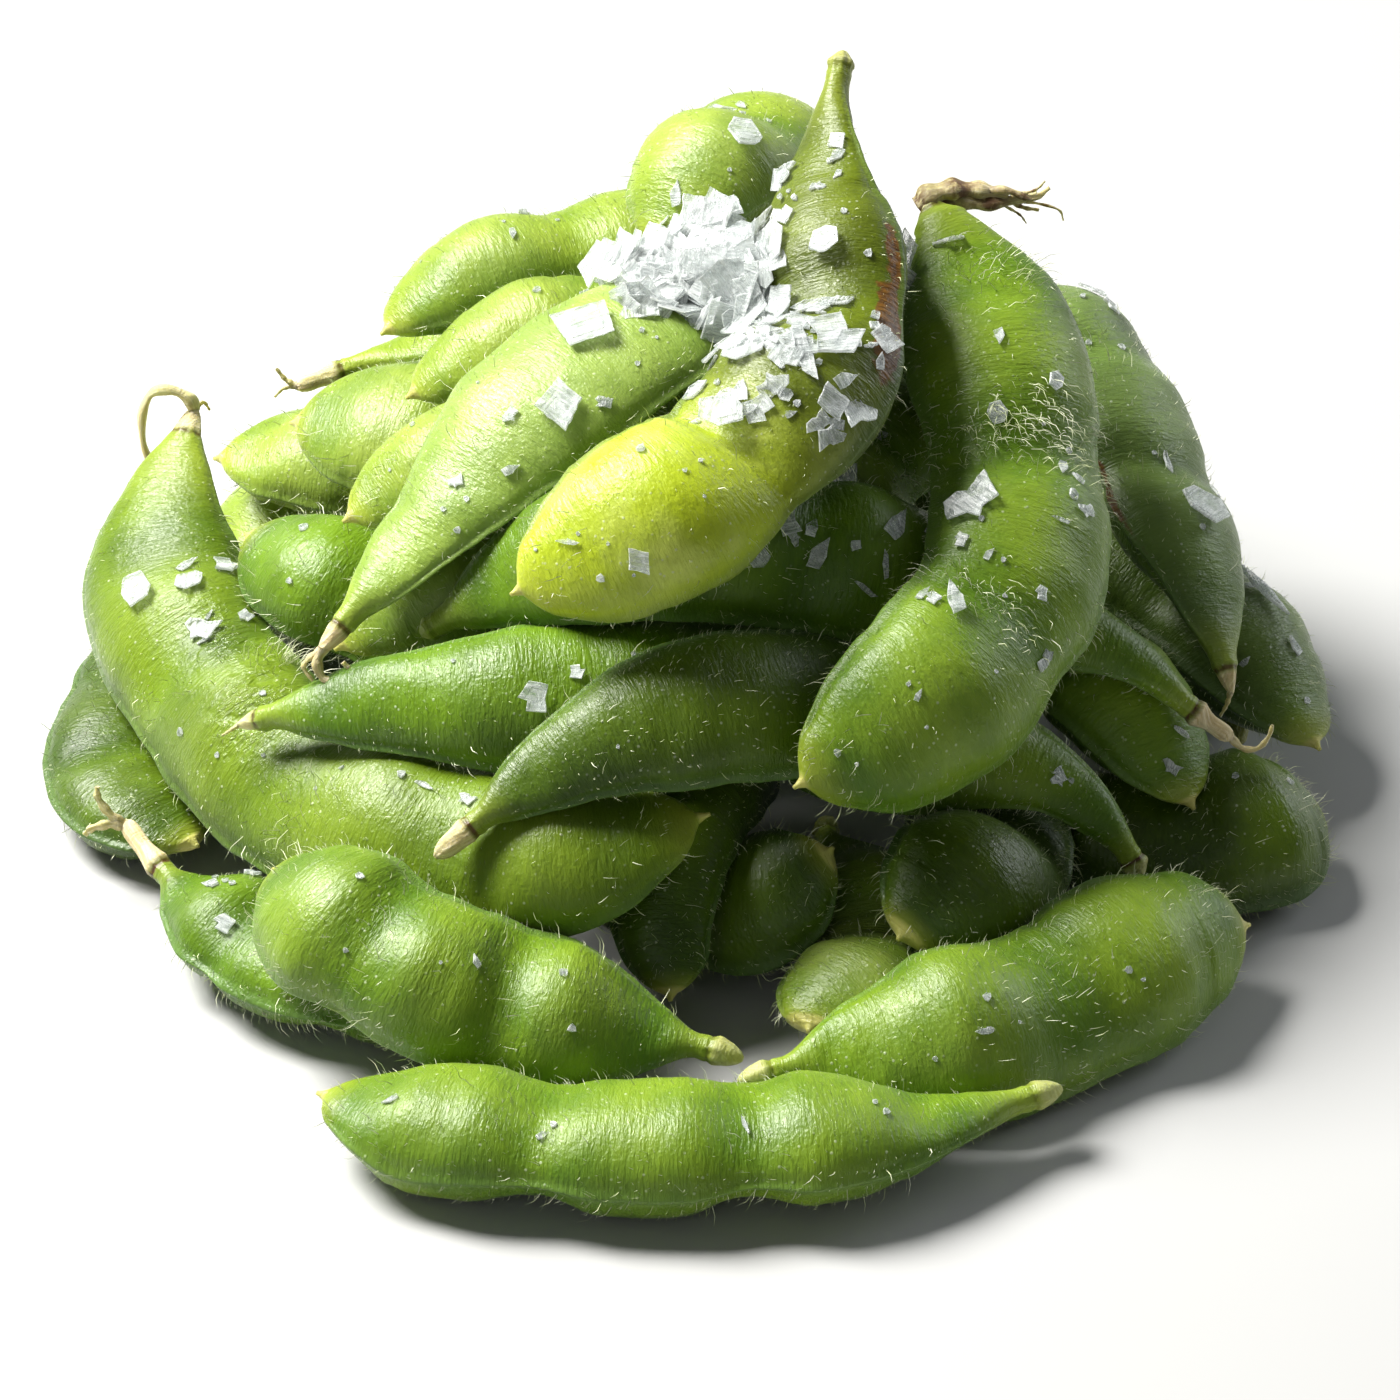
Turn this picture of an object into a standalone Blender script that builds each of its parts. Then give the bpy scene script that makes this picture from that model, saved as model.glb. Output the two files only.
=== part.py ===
"""A heap of cooked edamame pods, lying loose on a flat surface and sprinkled with a few large salt flakes.

Metres, +Z up, origin on the surface under the middle of the heap. -Y is the heap's front.
Each pod is one solid: a dried stalk, a narrow neck, one to four beans and a small beak. The table gives
each pod's line as if it could pass through its neighbours. Then the pods are eased apart: each one shifts,
turns and bends a little until it lies clear of the surface and of every other pod, and last of all each is
lowered until it touches what it lies on.
"""

import math
from collections import namedtuple

import bpy
import numpy as np
from mathutils import Matrix, Quaternion, Vector
from mathutils.bvhtree import BVHTree

MM = 0.001

# A pod's section: SIDES points round an oval that is drawn in to a thin seam at both edges.
SIDES = 10
SEAM_PINCH = 1.2
# Places along a pod's body, as shares of its length from the calyx to the beak's point.
STATIONS = (0, 0.03, 0.09, 0.16, 0.24, 0.32, 0.4, 0.49, 0.58, 0.67, 0.76, 0.84, 0.91, 0.96)
TAPER_START = 0.72
BEANS_FROM, BEANS_TO = 0.14, 0.93
STALK_STEP = 2.5 * MM
STALK_RADIUS = 0.8 * MM
CALYX_RADIUS = 1.4 * MM
BEAK_RADIUS = 0.5 * MM
FLAT_SHARE = 0.66  # a pod's thickness between two beans, as a share of its thickness at a bean
STRAIGHT_DIP, WAVY_DIP = 0.04, 0.17  # how far its two edges dip in there, as shares of half its width
BEAN_SPREAD = 0.36  # how far a bean's swelling reaches, as a share of the beans' spacing

# How pods lie against each other.
GAP = 0.3 * MM
BEADS = 18  # slices of a pod that are tested against those of its neighbours
BEAD_FILL = 0.94  # a slice is drawn in to its seams, so it fills a little less than an oval
NEAR = 20 * MM
EASE_STEPS = 240
TOUCH_UP_STEPS = 20
MOST_TOUCH_UPS = 60
TOUCH_UP_MARGIN = 0.15 * MM
# How strongly a pod returns to its own line at each step: its place, slant, bow, and finer bends.
RETURN = np.array([0.003, 0.004, 0.02, 0.04, 0.08])
PRESSED = 0.5 * MM
SETTLE_STEP = 0.1 * MM
MOST_SETTLING = 6 * MM

# A salt flake is a thin plate with an uneven outline, in shares of its size.
FLAKE_OUTLINE = ((-0.5, -0.36), (0.1, -0.46), (0.48, -0.3), (0.5, 0.22), (0.12, 0.42), (-0.42, 0.34))
FLAKE_THICK = 0.35 * MM

ROUGHNESS = 0.38
SHADES = {
    "green": (0.19, 0.36, 0.045),
    "deep": (0.09, 0.2, 0.03),
    "lime": (0.36, 0.5, 0.07),
    "salt": (0.85, 0.88, 0.9),
}

Pod = namedtuple("Pod", "name beans width thick face spine stalk neck wedge twist firm shade")
Flake = namedtuple("Flake", "pod share turn size narrow spin")
PODS = []
FLAKES = []


def lay(
    name, beans, width, thick, face, *spine, stalk=2.5, neck=0.33, wedge=0.3, twist=0, firm=1, shade="green"
):
    """Adds a pod: its widths in millimetres, the way its broad side faces, and its line, stalk first.

    stalk is the stalk's length in millimetres, and neck is the share of the body that it takes to widen.
    wedge is how evenly it widens there: 0 is a slim neck and then a shoulder, and 1 is a straight wedge.
    twist is how far the broad side has turned at the stalk, in degrees. A firm pod makes others give way.
    """
    sizes = (width * MM, thick * MM)
    line = np.array(spine) * MM
    turn = math.radians(twist)
    face = Vector(face).normalized()
    PODS.append(Pod(name, beans, *sizes, face, line, stalk * MM, neck, wedge, turn, firm, shade))


def sprinkle(pod, share, turn, size, narrow, spin):
    """Adds a flake on a pod: how far along and round it lies, its size, its narrowness and its spin."""
    FLAKES.append(Flake(pod, share, math.radians(turn), size * MM, narrow, math.radians(spin)))


# The floor layer, front to back.
lay(
    "base_front", 3, 13, 9, (0, 0, 1),
    (27, -51, 5), (14, -55, 5), (0, -56, 5), (-14, -54, 5), (-28, -50, 5),
)
lay(
    "base_front_inner", 2, 12, 8, (0, 0, 1),
    (7, -14, 5), (8, -23, 5), (9, -32, 5), (10, -39, 5), (9, -46, 5),
)
lay(
    "base_front_left", 3, 12, 8, (0, 0, 1),
    (-45, -17, 6), (-40, -23, 5), (-34, -29, 5), (-26, -36, 4.5), (-14, -40, 4.5),
    stalk=6,
)
lay(
    "base_left", 3, 12, 7, (0, 0, 1),
    (-39, 22, 3.7), (-43, 12, 3.7), (-44.5, 2, 3.6), (-43, -8, 3.6), (-36, -17, 3.6),
)
lay("base_right_side", 3, 13, 9, (0, 0, 1), (44, -4, 5), (43, 7, 5), (41, 17, 5), (36, 27, 5), (27, 35, 5))
lay(
    "base_middle_back", 3, 13, 9, (0, 0, 1),
    (30, 17, 5), (16, 13, 5), (2, 12, 5), (-13, 13, 5), (-29, 15, 5),
)
lay("base_back", 3, 13, 9, (0, 0, 1), (-34, 29, 5), (-20, 29, 5), (-5, 28, 5), (10, 28, 5), (24, 31, 5))
lay("base_far_back", 3, 13, 9, (0, 0, 1), (24, 46, 5), (10, 46, 5), (-4, 45, 5), (-18, 43, 5), (-31, 38, 5))
# The second layer.
lay(
    "front_edge_left", 3, 13, 9, (-0.2, -0.6, 1),
    (3, -49, 5), (-6, -46, 5.5), (-15, -41, 6), (-24, -35, 7), (-31, -27, 8),
)
lay(
    "front_edge_right", 2, 14, 10, (0.2, -0.8, 1),
    (1, -50, 4), (11, -46, 5), (21, -40, 6), (31, -34, 7), (41, -30, 6.5),
)
lay(
    "front_dark_bean", 2, 13, 9, (0, -0.7, 1),
    (18, -6, 6), (18, -16, 6), (18, -26, 7), (17, -34, 9), (14, -41, 7),
)
lay(
    "front_dark_cross", 3, 12, 8, (0, -0.6, 1),
    (-20, -8, 7), (-12, -14, 7), (-3, -20, 8), (6, -26, 9), (15, -29, 12),
)
lay(
    "right_low_bean", 2, 14, 10, (0.4, -0.4, 1),
    (20, -14, 6), (28, -18, 7), (36, -20, 7), (43, -18, 7), (49, -14, 5.5),
)
lay(
    "front_hanging", 1, 9, 6.5, (0, -0.7, 0.7),
    (9, -5, 12), (4, -15, 14), (1, -24, 14), (-1.5, -31, 12), (-2.2, -36, 9), (-2.2, -41, 4.8),
    firm=3,
)
lay(
    "left_inner_dark", 3, 12, 8, (-0.3, -0.3, 1),
    (-37, 10.5, 17), (-31.5, 8, 17.5), (-25, 5, 17), (-14, 3, 16), (0, 1, 15),
    stalk=1.5, firm=2,
)
lay(
    "right_outer_dark", 3, 14, 10, (0.5, -0.3, 1),
    (6, 26, 13), (18, 21, 15), (30, 13, 15), (40, 5, 13), (46, -3, 10), (50, -9, 7),
    firm=2,
)
lay("core_left", 3, 12, 8, (0, 0, 1), (-36, 16, 8.5), (-34, 8, 9), (-29, 0, 9.5), (-19, -4, 9.5), (-6, -5, 8.5))
lay(
    "back_low_right", 3, 13, 9, (0.2, 0.5, 1),
    (38, 22, 10), (28, 30, 12), (15, 36, 12), (1, 38, 12), (-12, 38, 11),
)
lay(
    "back_low_left", 3, 13, 9, (-0.3, 0.5, 1),
    (-2, 40, 12), (-15, 36, 12), (-26, 30, 11), (-35, 25, 9), (-42, 18, 7),
)
lay(
    "left_back_tip", 3, 12, 8, (-0.2, -0.2, 1),
    (10, 18, 16), (-6, 21, 16), (-20, 24, 15), (-31, 26, 14), (-41, 27, 13),
)
# The third layer.
lay(
    "left_curve", 4, 14.5, 9.5, (-0.35, -0.55, 0.75),
    (-42.6, 17, 23), (-44.6, 10, 17.5), (-44.4, 4, 13), (-40, -7, 11), (-33, -19, 10), (-22, -29.5, 11),
    (-10, -35, 12.5), (2.5, -34, 15.5),
    stalk=2.5, neck=0.17, wedge=1, firm=4,
)
lay(
    "front_right_tail", 1, 11, 6.5, (0.1, -0.6, 0.8),
    (36, -29, 8), (30, -27, 12.5), (22, -25, 16.5), (11, -21, 18), (-2, -15, 17),
    stalk=1.5, neck=0.6, wedge=1, firm=2,
)
lay(
    "left_inner_green", 3, 12, 8, (-0.3, -0.4, 1),
    (6, -7, 14), (-8, -9, 16), (-20, -8, 18), (-30, -3, 20), (-37, 4, 20),
    firm=3,
)
lay(
    "right_ridge", 3, 13, 8, (0.5, -0.5, 1),
    (0, 12, 17), (10, 6, 18), (20, -2, 18), (29, -10, 16.5), (35, -17, 13), (39, -22, 8),
    firm=2,
)
lay(
    "front_left_inner", 2, 12, 7, (-0.1, -0.6, 1),
    (-29, -18, 15), (-20, -20, 17), (-11, -20, 17), (-2, -18, 16), (8, -13, 15),
    wedge=0.7,
)
lay(
    "front_pointing_left", 1, 12, 7, (-0.1, -0.7, 0.8),
    (-37, -20, 14.5), (-28, -23.5, 17.5), (-18, -25, 20), (-7, -24, 21), (4, -21, 21), (14, -16, 19),
    stalk=2, neck=0.42, wedge=1, firm=3,
)
lay(
    "core_top_back", 3, 13, 9, (0, 0.2, 1),
    (28, 25, 15.5), (14, 28, 16.5), (0, 31, 16.5), (-13, 31, 15.5), (-24, 30, 13.5),
)
lay(
    "right_pointing", 2, 9.5, 6.5, (0.4, -0.5, 0.8),
    (42, -18, 13), (38, -17, 16), (34, -15, 19), (28, -13, 21), (19, -8, 23), (8, -2, 24),
    stalk=4, neck=0.5, wedge=1, firm=3,
)
lay(
    "front_pointing_stem", 1, 12, 7, (-0.1, -0.7, 0.8),
    (-20.5, -36, 14.2), (-14.5, -32.5, 18.5), (-8.5, -29, 21.5), (-1, -25, 22.5), (8, -21, 21.5),
    (16, -16, 18),
    stalk=3.5, neck=0.46, wedge=1, firm=3,
)
# The fourth layer.
lay(
    "right_back_twist", 3, 13, 8, (0.6, -0.3, 0.8),
    (43, -10, 12), (41, -3, 17), (38, 5, 20), (35, 13, 24), (31, 21, 27), (22, 28, 27),
    stalk=2, neck=0.3, wedge=0.8, firm=3,
)
lay(
    "left_back_broad", 3, 14, 8, (-0.4, -0.3, 0.9),
    (13, 3, 23), (0, 3, 24.5), (-13, 6, 25), (-25, 10, 24.5), (-34, 13, 23.5),
    firm=3,
)
lay(
    "left_back_stem", 3, 13, 8, (-0.3, 0.1, 1),
    (-34, 22, 23), (-24, 24, 25), (-10, 27, 26), (4, 30, 25), (17, 33, 22),
    stalk=4, firm=2,
)
lay(
    "under_salted", 3, 11, 8, (-0.3, -0.5, 0.9),
    (15, 6, 24), (3, 2, 26), (-9, -3, 27), (-20, -9, 26), (-29, -14, 20),
)
lay(
    "middle_front_broad", 3, 13, 8, (0, -0.7, 0.8),
    (-23, -13.5, 20.5), (-17, -16, 23), (-9, -19, 26), (2, -20, 26.5), (12, -19, 25.5), (23, -16, 22),
    stalk=1, neck=0.36, wedge=0.8, firm=3,
)
lay(
    "left_fan_low", 3, 11, 8, (-0.3, -0.4, 0.9),
    (19.8, 14, 26.8), (6.8, 10, 30.3), (-6.2, 6, 31.8), (-18.2, 1, 30.8), (-28.2, -4, 25.8),
    firm=3,
)
lay(
    "right_inner_hairy", 3, 12, 8, (0.2, -0.6, 0.8),
    (18, 19, 33), (18, 10, 31), (17, 2, 28), (15, -6, 25), (11, -13, 22),
)
# The fifth layer.
lay(
    "left_fan_middle", 3, 11, 8.5, (-0.3, -0.3, 0.9),
    (26.2, 23.5, 25), (15.2, 18.5, 29), (2.2, 13.5, 32), (-10.8, 7.5, 32), (-22.8, 3.5, 28),
    firm=4,
)
lay(
    "left_fan_top", 3, 12, 9.5, (-0.2, 0.0, 1),
    (21.8, 37, 23.5), (10.8, 32, 28.5), (-1.2, 27, 33.5), (-13.2, 20, 34.5), (-25.2, 14, 31.5),
    firm=5,
)
lay(
    "front_right", 3, 15, 10, (0.25, -0.75, 0.6),
    (18.5, 14, 45.5), (21.5, 7.5, 42), (24, -3, 36), (24, -15, 30), (18, -26, 26), (5, -34, 21.5),
    stalk=1, neck=0.2, wedge=1, firm=4,
)
# The top.
lay(
    "top_back", 3, 14, 10, (0, 0.1, 1),
    (6, 43, 19), (7, 37, 27), (6, 30, 35), (4, 23, 41.5), (0, 17, 43.5), (-4, 11.5, 41),
    firm=3,
)
lay(
    "salted", 1, 15, 7, (-0.35, -0.4, 0.85),
    (-29, -20, 21), (-22, -15, 26), (-14, -8, 32), (-5, 0, 38), (5, 7, 42),
    stalk=2.5, neck=0.5, wedge=1, firm=3,
)
lay(
    "tall", 3, 15, 10, (0, -0.75, 0.66),
    (11, 18, 56), (9.5, 11, 50), (9.5, 4, 45), (9.5, -6, 41), (5, -15, 37.5), (-3, -22, 34),
    (-14, -26, 30),
    stalk=1.5, neck=0.34, twist=50, firm=4, shade="lime",
)
# The largest salt flakes.
sprinkle("salted", 0.66, 95, 4.9, 1, 20)
sprinkle("salted", 0.52, 60, 3.6, 1, -15)
sprinkle("tall", 0.5, 112, 4.2, 0.9, 35)
sprinkle("tall", 0.33, 110, 2.6, 0.8, 10)
sprinkle("tall", 0.66, 75, 3.4, 0.9, 70)
sprinkle("tall", 0.85, 120, 2.2, 1, 0)
sprinkle("top_back", 0.8, 120, 2.8, 1, 25)
sprinkle("left_fan_middle", 0.58, 70, 3.2, 0.8, 50)
sprinkle("front_right", 0.52, 45, 4.4, 0.8, -30)
sprinkle("front_right", 0.71, 55, 2.4, 0.9, 15)
sprinkle("right_back_twist", 0.26, 95, 4.8, 0.7, 60)
sprinkle("right_outer_dark", 0.76, 98, 4.4, 0.5, 80)
sprinkle("left_curve", 0.22, 85, 2.8, 0.9, 40)
sprinkle("front_pointing_left", 0.45, 80, 2.8, 0.7, 5)


def smooth(t):
    """A ramp from 0 to 1 with level ends."""
    t = min(1.0, max(0.0, t))
    return t * t * (3 - 2 * t)


def curve_through(points, pieces=24):
    """A smooth curve through the points (Catmull-Rom), as closely spaced points."""
    ends = np.vstack([2 * points[0] - points[1], points, 2 * points[-1] - points[-2]])
    found = []
    for a, b, c, d in zip(ends, ends[1:], ends[2:], ends[3:]):
        for t in np.arange(pieces) / pieces:
            bend = (2 * a - 5 * b + 4 * c - d) * t**2 + (3 * b - a - 3 * c + d) * t**3
            found.append(0.5 * (2 * b + (c - a) * t + bend))
    return np.array([*found, points[-1]])


def length_of(curve):
    return np.linalg.norm(np.diff(curve, axis=0), axis=1).sum()


def at_shares(curve, shares):
    """The points at these shares of the curve's length."""
    steps = np.linalg.norm(np.diff(curve, axis=0), axis=1)
    along = np.concatenate([[0], np.cumsum(steps)]) / steps.sum()
    return np.array([[np.interp(share, along, curve[:, axis]) for axis in range(3)] for share in shares])


def swelling(pod, share):
    """1 over a bean and near 0 between two of them."""
    spacing = (BEANS_TO - BEANS_FROM) / pod.beans
    centres = [BEANS_FROM + (bean + 0.5) * spacing for bean in range(pod.beans)]
    return max(math.exp(-(((share - centre) / (BEAN_SPREAD * spacing)) ** 2)) for centre in centres)


def half_sizes(pod, share):
    """Half the body's width and half its thickness at this share of its length. Below 0 is the stalk."""
    if share < 0:
        return STALK_RADIUS, STALK_RADIUS
    there = min(1, (share + 0.05) / (pod.neck + 0.05))
    rise = (1 - pod.wedge) * smooth(there) + pod.wedge * there * (1.25 - 0.25 * there)
    taper = (1 - max(0, (share - TAPER_START) / (1 - TAPER_START)) ** 2.4) ** 0.75
    wide = pod.width / 2 * rise * taper
    thick = pod.thick / 2 * rise * taper * (FLAT_SHARE + (1 - FLAT_SHARE) * swelling(pod, share))
    least = CALYX_RADIUS * 0.85 if share < 0.5 else BEAK_RADIUS
    if share == 0:
        least = CALYX_RADIUS
    return max(wide, least), max(thick, least)


def slices(pod, curve, shares):
    """Slices at these shares of the line: middles, directions (along, side, face), half sizes, waists."""
    stalk = pod.stalk / length_of(curve)
    middles = at_shares(curve, shares)
    ahead = at_shares(curve, [min(1, share + 0.01) for share in shares])
    behind = at_shares(curve, [max(0, share - 0.01) for share in shares])
    frames, sizes, waists = [], [], []
    for share, there, here in zip(shares, ahead, behind):
        body = (share - stalk) / (1 - stalk)
        along = Vector(there - here).normalized()
        face = (pod.face - pod.face.dot(along) * along).normalized()
        face.rotate(Quaternion(along, pod.twist * (1 - body)))
        frames.append((along, along.cross(face), face))
        sizes.append(half_sizes(pod, 0 if abs(body) < 1e-6 else body))
        waists.append(1 - swelling(pod, body) if 0.2 < body < 0.85 else 0)
    return middles, np.array(frames), np.array(sizes), waists


def pod_shape(pod, curve, grow=0.0):
    """The pod's points and faces: a ring at each station, closed by a point at each end. grow fattens it."""
    stalk = pod.stalk / length_of(curve)
    stalk_rings = max(1, round(pod.stalk / STALK_STEP))
    shares = [stalk * ring / stalk_rings for ring in range(stalk_rings)]
    shares += [stalk + station * (1 - stalk) for station in STATIONS]
    points = []
    for middle, (_, side, face), (wide, thick), waist in zip(*slices(pod, curve, shares)):
        for turn in np.arange(SIDES) * 2 * math.pi / SIDES:
            dip = waist * (STRAIGHT_DIP if math.cos(turn) > 0 else WAVY_DIP)
            across = (wide * (1 - dip) + grow) * math.cos(turn)
            out = (thick + grow) * math.copysign(abs(math.sin(turn)) ** SEAM_PINCH, math.sin(turn))
            points.append(middle + across * side + out * face)
    points += [curve[0], curve[-1]]
    first, last = len(points) - 2, len(points) - 1
    faces = []
    for ring in range(len(shares) - 1):
        for side in range(SIDES):
            a, b = ring * SIDES + side, ring * SIDES + (side + 1) % SIDES
            faces += [(a, b + SIDES, b), (a, a + SIDES, b + SIDES)]
    end = (len(shares) - 1) * SIDES
    for side in range(SIDES):
        after = (side + 1) % SIDES
        faces += [(first, side, after), (last, end + after, end + side)]
    return np.array(points), faces


class Heap:
    """The pods' beads, which are slices along each pod, and how each pod has shifted and bent."""

    def __init__(self):
        self.shares = np.linspace(0.02, 0.985, BEADS)
        t = np.linspace(-1, 1, BEADS)
        self.modes = np.linalg.qr(np.vander(t, len(RETURN), increasing=True))[0]
        self.home = np.array([at_shares(curve_through(pod.spine), self.shares) for pod in PODS])
        self.give = np.zeros((len(PODS), len(RETURN), 3))
        self.owner = np.repeat(np.arange(len(PODS)), BEADS)
        self.firm = np.repeat([pod.firm for pod in PODS], BEADS)
        self.margin = np.zeros((len(PODS), len(PODS)))

    def curve(self, index):
        """A pod's line where it lies now. Its ends run on a little past its first and last beads."""
        beads = self.home[index] + self.modes @ self.give[index]
        start = beads[0] - (beads[1] - beads[0]) * self.shares[0] / (self.shares[1] - self.shares[0])
        end = beads[-1] + (beads[-1] - beads[-2]) * (1 - self.shares[-1]) / (self.shares[1] - self.shares[0])
        return np.vstack([start, beads, end])

    def reach(self, bead, direction):
        """How far each bead reaches in a direction."""
        parts = np.einsum("nkc,nc->nk", self.frames[bead], direction)
        return np.linalg.norm(parts * self.sizes[bead], axis=1)

    def look_round(self):
        """Reads every bead's directions and half sizes, and lists the pairs of beads near each other."""
        found = [slices(pod, self.curve(index), self.shares) for index, pod in enumerate(PODS)]
        middles = np.concatenate([middles for middles, _, _, _ in found])
        self.frames = np.concatenate([frames for _, frames, _, _ in found])
        sizes = np.concatenate([sizes for _, _, sizes, _ in found])
        self.sizes = np.column_stack([sizes.min(1), sizes * BEAD_FILL])
        distance = np.linalg.norm(middles[:, None] - middles[None], axis=2)
        near = (distance < NEAR) & (self.owner[:, None] < self.owner[None])
        self.pairs = np.nonzero(near)

    def ease(self, steps, hold):
        """Moves the pods apart, a little at each step. hold is how strongly they keep their own lines."""
        down = np.tile([0.0, 0.0, -1.0], (len(self.owner), 1))
        everyone = np.arange(len(self.owner))
        for step in range(steps):
            if step % 10 == 0:
                self.look_round()
            middles = (self.home + self.modes @ self.give).reshape(-1, 3)
            one, other = self.pairs
            line = middles[other] - middles[one]
            distance = np.linalg.norm(line, axis=1)
            line /= distance[:, None]
            clash = self.reach(one, line) + self.reach(other, line) + GAP - distance
            clash += self.margin[self.owner[one], self.owner[other]]
            touching = clash > 0
            one, other = one[touching], other[touching]
            push = line[touching] * clash[touching, None]
            share = (self.firm[one] / (self.firm[one] + self.firm[other]))[:, None]
            move = np.zeros_like(middles)
            np.add.at(move, other, push * share)
            np.add.at(move, one, -push * (1 - share))
            count = np.bincount(one, minlength=len(move)) + np.bincount(other, minlength=len(move))
            move /= np.maximum(1, count)[:, None]
            sunk = self.reach(everyone, down) - middles[:, 2]
            move[:, 2] = np.where(sunk > 0, np.maximum(move[:, 2], sunk), move[:, 2])
            self.give += self.modes.T @ move.reshape(self.home.shape) - hold * RETURN[:, None] * self.give

    def tree(self, index, grow=0.0):
        points, faces = pod_shape(PODS[index], self.curve(index), grow)
        return BVHTree.FromPolygons(points.tolist(), faces)

    def clashes(self):
        """The pairs of pods with less than the gap between them."""
        trees = [self.tree(index) for index in range(len(PODS))]
        found = []
        for index in range(len(PODS)):
            fat = self.tree(index, GAP)
            found += [(index, other) for other in range(index + 1, len(PODS)) if fat.overlap(trees[other])]
        return found

    def touch_up(self):
        """Eases the pods apart until every pair has its gap."""
        for _ in range(MOST_TOUCH_UPS):
            clashes = self.clashes()
            if not clashes:
                return
            for pair in clashes:
                self.margin[pair] += TOUCH_UP_MARGIN
            self.ease(TOUCH_UP_STEPS, 0.3)
        raise ValueError(f"these pods still clash: {clashes}")

    def settle(self):
        """Lowers each pod, from the lowest up, until it touches another or the surface."""
        trees = [self.tree(index) for index in range(len(PODS))]
        heights = [self.curve(index)[:, 2].mean() for index in range(len(PODS))]
        for index in np.argsort(heights):
            others = trees[:index] + trees[index + 1 :]
            points, faces = pod_shape(PODS[index], self.curve(index), GAP)
            down = 0
            while down < MOST_SETTLING:
                lower = points - (0, 0, down + SETTLE_STEP)
                fat = BVHTree.FromPolygons(lower.tolist(), faces)
                if lower[:, 2].min() < -GAP or any(fat.overlap(other) for other in others):
                    break
                down += SETTLE_STEP
            self.give[index, 0, 2] -= down / self.modes[0, 0]
            trees[index] = self.tree(index)


def flat_below(points):
    """Where a pod presses on the surface it is a little flat."""
    points[points[:, 2] < PRESSED, 2] = 0
    return points


def flake_shape(flake, pod, curve):
    """The flake's points and faces, lying on the pod's surface, and the way out from the pod there."""
    stalk = pod.stalk / length_of(curve)
    share = stalk + flake.share * (1 - stalk)
    (middle,), ((_, side, face),), ((wide, thick),), _ = slices(pod, curve, [share])
    cos, sin = math.cos(flake.turn), math.sin(flake.turn)
    spot = middle + wide * cos * side + thick * math.copysign(abs(sin) ** SEAM_PINCH, sin) * face
    up = Vector(cos / wide * side + sin / thick * face).normalized()
    first = up.orthogonal().normalized()
    second = up.cross(first)
    points = []
    for height in (GAP, GAP + FLAKE_THICK):
        for x, y in FLAKE_OUTLINE:
            turned = Vector((x, y * flake.narrow)) * flake.size
            turned.rotate(Matrix.Rotation(flake.spin, 2))
            points.append(Vector(spot) + turned.x * first + turned.y * second + height * up)
    count = len(FLAKE_OUTLINE)
    faces = [tuple(reversed(range(count))), tuple(range(count, 2 * count))]
    faces += [(a, (a + 1) % count, (a + 1) % count + count, a + count) for a in range(count)]
    return np.array(points), faces, np.array(up)


def add_object(name, points, faces, shade, middle):
    """Adds a solid. Its own origin is at its middle, and middle is the heap's own middle on the surface."""
    centre = points.mean(0)
    mesh = bpy.data.meshes.new(name)
    mesh.from_pydata((points - centre).tolist(), [], faces)
    if shade != "salt":
        mesh.shade_smooth()
    material = bpy.data.materials.new(name)
    material.use_nodes = True
    principled = material.node_tree.nodes["Principled BSDF"]
    principled.inputs["Base Color"].default_value = (*SHADES[shade], 1)
    principled.inputs["Roughness"].default_value = ROUGHNESS
    principled.inputs["Metallic"].default_value = 0
    mesh.materials.append(material)
    thing = bpy.data.objects.new(name, mesh)
    thing.location = centre - middle
    bpy.context.scene.collection.objects.link(thing)


def build():
    for old in list(bpy.data.objects):
        bpy.data.objects.remove(old)
    heap = Heap()
    heap.ease(EASE_STEPS, 1)
    heap.touch_up()
    heap.settle()
    solids = []
    trees = []
    for index, pod in enumerate(PODS):
        points, faces = pod_shape(pod, heap.curve(index))
        points = flat_below(points)
        solids.append((pod.name, points, faces, pod.shade))
        trees.append(BVHTree.FromPolygons(points.tolist(), faces))
    names = [pod.name for pod in PODS]
    for number, flake in enumerate(FLAKES, 1):
        index = names.index(flake.pod)
        points, faces, up = flake_shape(flake, PODS[index], heap.curve(index))
        while any(BVHTree.FromPolygons(points.tolist(), faces).overlap(tree) for tree in trees):
            points += SETTLE_STEP * up
        points += GAP * up
        solids.append((f"salt_flake_{number:02d}", points, faces, "salt"))
        trees.append(BVHTree.FromPolygons(points.tolist(), faces))
    everything = np.concatenate([points for _, points, _, _ in solids])
    middle = (everything.min(0) + everything.max(0)) / 2 * (1, 1, 0)
    for name, points, faces, shade in solids:
        add_object(name, points, faces, shade, middle)


build()
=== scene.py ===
"""Looks of the edamame pod bundle: smooth hairy pods with their dried stalks and calyxes, and flaky salt."""

import math
from collections import namedtuple

import bmesh
import bpy
import numpy as np
from mathutils import Matrix, Vector
from mathutils.bvhtree import BVHTree


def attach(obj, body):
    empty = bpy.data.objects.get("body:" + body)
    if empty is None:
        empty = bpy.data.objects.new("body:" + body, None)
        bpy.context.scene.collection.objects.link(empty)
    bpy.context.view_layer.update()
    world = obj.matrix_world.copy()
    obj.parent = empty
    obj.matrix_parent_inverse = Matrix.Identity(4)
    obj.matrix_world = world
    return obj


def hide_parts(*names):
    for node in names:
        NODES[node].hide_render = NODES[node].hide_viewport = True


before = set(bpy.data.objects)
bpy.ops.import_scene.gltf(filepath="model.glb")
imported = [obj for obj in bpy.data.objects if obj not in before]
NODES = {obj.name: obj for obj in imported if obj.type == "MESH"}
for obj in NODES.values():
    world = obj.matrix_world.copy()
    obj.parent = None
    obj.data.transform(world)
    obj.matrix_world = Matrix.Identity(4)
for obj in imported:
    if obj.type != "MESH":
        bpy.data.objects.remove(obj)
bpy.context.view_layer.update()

MM = 0.001
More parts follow.
